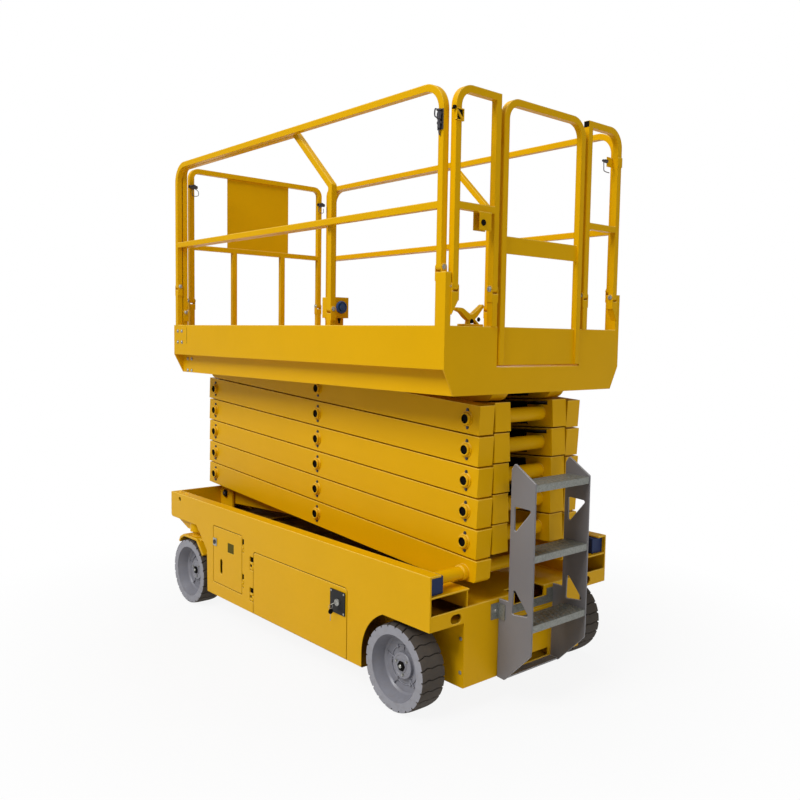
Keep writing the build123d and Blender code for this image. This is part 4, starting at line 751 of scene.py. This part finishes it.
def fold_bolts():
    """Bright heads on both ends of every fold pin, placed from each rail's own posts."""
    head = [(0.0125, 0), (0.0125, 0.0016), (0.0092, 0.002), (0.0092, 0.0062), (0.0075, 0.0075),
            (AXIS_POINT, 0.0075)]
    rows = [("main_rail_left", "x", "platform", "left_rail_fold"),
            ("main_rail_right", "x", "platform", "right_rail_fold"),
            ("deck_rail_left", "x", "extension_deck", "left_deck_rail_fold"),
            ("deck_rail_right", "x", "extension_deck", "right_deck_rail_fold"),
            ("front_rail", "y", "extension_deck", "front_rail_fold"),
            ("rear_rail_left", "y", "platform", "rear_left_fold"),
            ("rear_rail_right", "y", "platform", "rear_right_fold")]
    for rail, along, body, joint in rows:
        lo, hi = (np.array(v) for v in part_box(rail))
        x, y, z = pos(joint)
        heads = []
        if along == "x":
            ends = [(c, y) for c in (lo[0] + HALF_TUBE, hi[0] - HALF_TUBE)]
        elif rail == "front_rail":
            ends = [(x, c) for c in (lo[1] + HALF_TUBE, hi[1] - HALF_TUBE)]
        else:
            outer = (hi if y > 0 else lo)[1] - math.copysign(HALF_TUBE, y)
            ends = [(x, outer), (x, outer - math.copysign(REAR_POST, y))]
        for c in ends:
            for way in (1, -1):
                axis = (way, 0, 0) if along == "x" else (0, way, 0)
                at = np.array([c[0], c[1], z]) + np.array(axis) * FOLD_FACE
                heads.append(lathe(head, axis, at, 6))
        piece(f"fold_bolts_{rail}", *merge(heads), body, "zinc", smooth=False)


def left_latch():
    """Spring latch on the left rail's rear post: a plate with two lugs, a turned bolt, a hoop and a tail."""
    lo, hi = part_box("main_rail_left")
    x, y = lo[0] + HALF_TUBE, hi[1]
    plate = ((x - 0.014, x + 0.018), (y - SINK, y + 0.004), (2.418, 2.498))
    lugs = [((x - 0.011, x + 0.011), (y + 0.0035, y + 0.014), zs) for zs in ((2.438, 2.449), (2.474, 2.485))]
    boxes("latch_plate_rail", [plate, *lugs], "main_rail_left", "steel")
    latch = [(0.0062, -0.040), (0.0062, -0.006), (0.0092, -0.005), (0.0092, 0.014), (0.0062, 0.015),
             (0.0062, 0.026), (0.0105, 0.027), (0.0105, 0.033), (AXIS_POINT, 0.033)]
    hoop = [(x + 0.004, y + 0.014, 2.492), (x + 0.018, y + 0.016, 2.498), (x + 0.022, y + 0.014, 2.474),
            (x + 0.010, y + 0.012, 2.464)]
    tail = [(x + 0.002, y + 0.006, 2.424), (x + 0.004, y + 0.007, 2.410), (x + 0.002, y + 0.004, 2.398)]
    parts = [lathe(latch, (0, 0, 1), (x, y + 0.012, 2.462), 20), tube(hoop, 0.0028), tube(tail, 0.0030)]
    piece("spring_latch", *merge(parts), "main_rail_left", "steel")


def left_clamp():
    """Clamp on the left rear rail: a square frame of four bars with a dark back, a slanted brace and a knob."""
    x = pos("rear_left_fold")[0]
    y = 0.538       # the clamp's middle
    depth = (x - 0.0235, x - 0.0143)
    wide, tall = (y - 0.020, y + 0.022), (2.452, 2.500)
    frame_bars = [(depth, wide, (2.452, 2.456)), (depth, wide, (2.496, 2.500)),
                  (depth, (y - 0.020, y - 0.016), tall), (depth, (y + 0.018, y + 0.022), tall)]
    boxes("clamp_frame", frame_bars, "rear_rail_left", "yellow_paint")
    back = ((x - 0.0160, x - 0.0140), (y - 0.017, y + 0.019), (2.455, 2.497))
    boxes("clamp_back", [back], "rear_rail_left", "dark")
    brace = np.column_stack([np.full(5, x - 0.0178), np.linspace(y - 0.014, y + 0.015, 5),
                             np.linspace(2.459, 2.490, 5)])
    piece("clamp_brace", *strap(brace, (1, 0, 0), 0.004, 0.011), "rear_rail_left", "yellow_paint", smooth=False)
    knob = lathe(bolt(0.0075, 0.012), (0, 0, 1), (x - 0.012, y + 0.024, 2.496), 16)
    piece("clamp_knob", *knob, "rear_rail_left", "dark")


def right_guide():
    """Guide on the right rear rail: a plate bent round the post, a peg with a wire, and the tube's end cap."""
    x = pos("rear_left_fold")[0]
    tall = (2.426, 2.472)
    bent = [((x + 0.0145, x + 0.0175), (-0.560, -0.478), tall),
            ((x - 0.0175, x + 0.0175), (-0.5555, -0.5525), tall),
            ((x - 0.0175, x - 0.0145), (-0.5555, -0.521), tall)]
    boxes("guide_plate", bent, "rear_rail_right", "yellow_paint")
    peg = [(0.0085, -0.002), (0.0085, 0.014), (0.0060, 0.018), (0.0060, 0.030), (AXIS_POINT, 0.031)]
    at = np.array([x + 0.016, -0.478, 2.450])
    piece("guide_peg", *lathe(peg, (0, 1, 0), at, 16), "rear_rail_right", "steel")
    loop = [at + (0, y, z) for y, z in ((0.024, -0.004), (0.022, -0.022), (0.020, -0.044), (0.004, -0.049),
                                        (-0.022, -0.050))]
    piece("guide_wire", *tube(loop, 0.0022), "rear_rail_right", "steel")
    cap = ((x - 0.0135, x + 0.0135), (-0.2937, -0.2912), (2.5745, 2.6005))
    boxes("rail_cap", [cap], "rear_rail_right", "dark")


def front_pins():
    """Locking pins of the front rail: a turned stem and collar with a wire loop, one on each side."""
    lo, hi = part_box("front_rail")
    stem = [(0.0150, 0), (0.0150, 0.003), (0.0085, 0.004), (0.0085, 0.020), (0.0135, 0.022), (0.0135, 0.028),
            (AXIS_POINT, 0.028)]
    collar = [(0.0105, -0.026), (0.0105, 0.026), (0.0075, 0.028), (AXIS_POINT, 0.028)]
    x = lo[0] - SINK
    for way, label in SIDES:
        y = (hi if way > 0 else lo)[1] - way * HALF_TUBE
        loop = [(x - back, y + way * out, z) for back, out, z in (
            (0.022, -0.004, 2.480), (0.025, -0.026, 2.466), (0.025, -0.026, 2.440), (0.025, 0.008, 2.437),
            (0.022, 0.012, 2.466))]
        parts = [lathe(stem, (-1, 0, 0), (x, y, 2.490), 20), tube(loop, 0.0020),
                 lathe(collar, (0, way, 0), (x - 0.012, y, 2.490), 16)]
        piece(f"front_pin_{label}", *merge(parts), "front_rail", "steel")


def bracket_disc():
    """Turned dark disc on the left rear rail's bracket."""
    disc = [(0.0125, -0.001), (0.0125, 0.003), (0.0105, 0.0042), (AXIS_POINT, 0.0042)]
    at = (pos("rear_left_fold")[0] - 0.0243, 0.398, 2.074)
    piece("bracket_disc", *lathe(disc, (-1, 0, 0), at, 24), "rear_rail_left", "dark")


def outlet():
    """Round socket with a stepped lid on the outlet box, and its gland below."""
    lo, hi = (np.array(v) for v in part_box("outlet_box"))
    at = (lo[0], (lo[1] + hi[1]) / 2, hi[2] - 0.048)
    ring = [(0.030, -0.001), (0.030, 0.008), (0.027, 0.011), (0.024, 0.011), (0.0235, 0.007), (0.018, 0.006),
            (0.0165, 0.012), (AXIS_POINT, 0.013)]
    piece("socket", *lathe(ring, (-1, 0, 0), at, 40), "extension_deck", "blue")
    gland = [(0.011, -0.001), (0.011, 0.010), (0.008, 0.014), (0.008, 0.024), (AXIS_POINT, 0.024)]
    low = (at[0] + 0.045, at[1] - 0.02, hi[2] - 0.0995)
    piece("socket_gland", *lathe(gland, (0, 0, -1), low, 16), "extension_deck", "black_paint")


def foot_lever():
    """Foot lever inside the rear left corner: a bar bent in a wide V on a low foot, with two pins below the bend.

    The bar runs straight from bend to bend, and each step is then averaged with its neighbours, which counts it
    twice, to round the bends. Its thickness grows as a sine from each tip to the middle."""
    x = AX - 0.200
    steps = 25
    knots = np.array([(0.478, 1.727), (0.446, 1.722), (0.424, 1.706), (0.400, 1.692), (0.376, 1.698),
                      (0.350, 1.720), (0.322, 1.745)])
    t = np.linspace(0, 1, steps)
    bends = np.linspace(0, 1, len(knots))
    line = np.column_stack([np.full(steps, x)] + [np.interp(t, bends, k) for k in knots.T])
    line[1:-1] = (line[:-2] + 2 * line[1:-1] + line[2:]) / 4
    thick = 0.011 + 0.016 * np.sin(np.pi * t)[:, None]
    stem = np.column_stack([np.full(6, x), np.linspace(0.405, 0.398, 6), np.linspace(1.660, 1.694, 6)])
    brace = np.column_stack([np.full(6, x), np.linspace(0.345, 0.385, 6), np.linspace(1.662, 1.694, 6)])
    foot = ((x - 0.020, x + 0.020), (0.330, 0.445), (1.6575, 1.6665))
    parts = [strap(line, (1, 0, 0), 0.024, thick), strap(stem, (1, 0, 0), 0.020, 0.014),
             strap(brace, (1, 0, 0), 0.016, 0.010), box_mesh(*np.array(foot).T)]
    piece("foot_lever", *merge(parts), "platform", "yellow_paint", smooth=False)
    places = [(x - 0.012, y, z) for y, z in ((0.392, 1.678), (0.352, 1.686))]
    pins = [lathe(bolt(0.0065, 0.006), (-1, 0, 0), at, 12) for at in places]
    piece("foot_lever_pin", *merge(pins), "platform", "dark")


platform_trim()
fold_bolts()
left_latch()
left_clamp()
right_guide()
front_pins()
bracket_disc()
outlet()
foot_lever()

# ------------------------------------------------------------------ stage, light, camera
FLOOR_REACH = 30.0              # metres from the middle to the floor's edge
FADE = (1.2, 2.6)               # metres from the middle over which the floor's last shade fades to white
WORLD_LIGHT = 0.2               # the world's strength for what the camera doesn't see
AIM = (0, 0, 1.0)               # the point that every lamp faces
LENS_MM, SENSOR_MM = 37.465, 36.0
CAMERA_AT = (-3.4777, 2.8799, 1.6128)
CAMERA_TURN = (-41.1, -4.4, 0.91)       # degrees: yaw from +X, pitch up, roll
VIEW_END = 200


def seen_by(tree, *rays):
    """An output that is 1 for any of the named kinds of ray: the largest of their marks."""
    path = tree.nodes.new("ShaderNodeLightPath").outputs
    seen = path[f"Is {rays[0]} Ray"]
    for ray in rays[1:]:
        seen = maths(tree, "MAXIMUM", seen, path[f"Is {ray} Ray"])
    return seen


def stage_floor():
    """A pale floor that shows as a white glow: nine tenths of it near the middle, and all of it far off."""
    r = FLOOR_REACH
    mesh = bpy.data.meshes.new("floor")
    mesh.from_pydata([(-r, -r, 0), (r, -r, 0), (r, r, 0), (-r, r, 0)], [], [(0, 1, 2, 3)])
    floor = bpy.data.objects.new("floor", mesh)
    bpy.context.scene.collection.objects.link(floor)
    m = bpy.data.materials.new("floor_pale")
    m.use_nodes = True
    tree = m.node_tree
    tree.nodes.clear()
    far = node(tree, "ShaderNodeVectorMath", operation="LENGTH", i0=object_at(tree)).outputs["Value"]
    seen = seen_by(tree, "Camera", "Glossy", "Transmission")
    share = maths(tree, "MULTIPLY", seen, ramp(tree, far, *FADE, 0.9, 1.0))
    matt = node(tree, "ShaderNodeBsdfDiffuse", Color=(0.6, 0.6, 0.6, 1)).outputs[0]
    glow = node(tree, "ShaderNodeEmission", Color=(1, 1, 1, 1), Strength=1.0).outputs[0]
    mix = node(tree, "ShaderNodeMixShader", i0=share, i1=matt, i2=glow).outputs[0]
    tree.links.new(mix, tree.nodes.new("ShaderNodeOutputMaterial").inputs[0])
    mesh.materials.append(m)


def stage_world():
    """A white world for the camera, and a dim white one for all else."""
    world = bpy.data.worlds.new("studio")
    bpy.context.scene.world = world
    world.use_nodes = True
    tree = world.node_tree
    back = tree.nodes["Background"]
    back.inputs["Color"].default_value = (1, 1, 1, 1)
    strength = ramp(tree, seen_by(tree, "Camera", "Transmission"), 0.0, 1.0, WORLD_LIGHT, 1.0)
    tree.links.new(strength, back.inputs["Strength"])


def lamp(name, at, size, power):
    """A square area lamp that faces the part."""
    light = bpy.data.lights.new(name, "AREA")
    light.size = size
    light.energy = power
    obj = bpy.data.objects.new(name, light)
    obj.location = at
    obj.rotation_euler = (Vector(AIM) - Vector(at)).to_track_quat("-Z", "Y").to_euler()
    bpy.context.scene.collection.objects.link(obj)


def stage_camera():
    """The camera looks along its yaw and pitch, and its right and up are turned about that line by its roll."""
    data = bpy.data.cameras.new("camera")
    data.sensor_width = SENSOR_MM
    data.lens = LENS_MM
    data.clip_end = VIEW_END
    cam = bpy.data.objects.new("camera", data)
    yaw, pitch, roll = (math.radians(v) for v in CAMERA_TURN)
    ahead = Vector((math.cos(pitch) * math.cos(yaw), math.cos(pitch) * math.sin(yaw), math.sin(pitch)))
    level = ahead.cross(Vector((0, 0, 1))).normalized()
    over = level.cross(ahead)
    right = level * math.cos(roll) + over * math.sin(roll)
    up = over * math.cos(roll) - level * math.sin(roll)
    turn = Matrix((right, up, -ahead)).transposed().to_4x4()
    cam.matrix_world = Matrix.Translation(CAMERA_AT) @ turn
    bpy.context.scene.collection.objects.link(cam)
    bpy.context.scene.camera = cam


stage_floor()
stage_world()
lamp("key", (-1.0, 9.3, 10.0), 6.4, 1310)
lamp("top", (0.5, 0.0, 7.5), 5.0, 140)
lamp("fill", (-7.6, -0.2, 2.6), 4.0, 105)
lamp("far", (6.0, -5.0, 4.0), 4.0, 110)
stage_camera()
bpy.context.scene.view_settings.view_transform = "Standard"
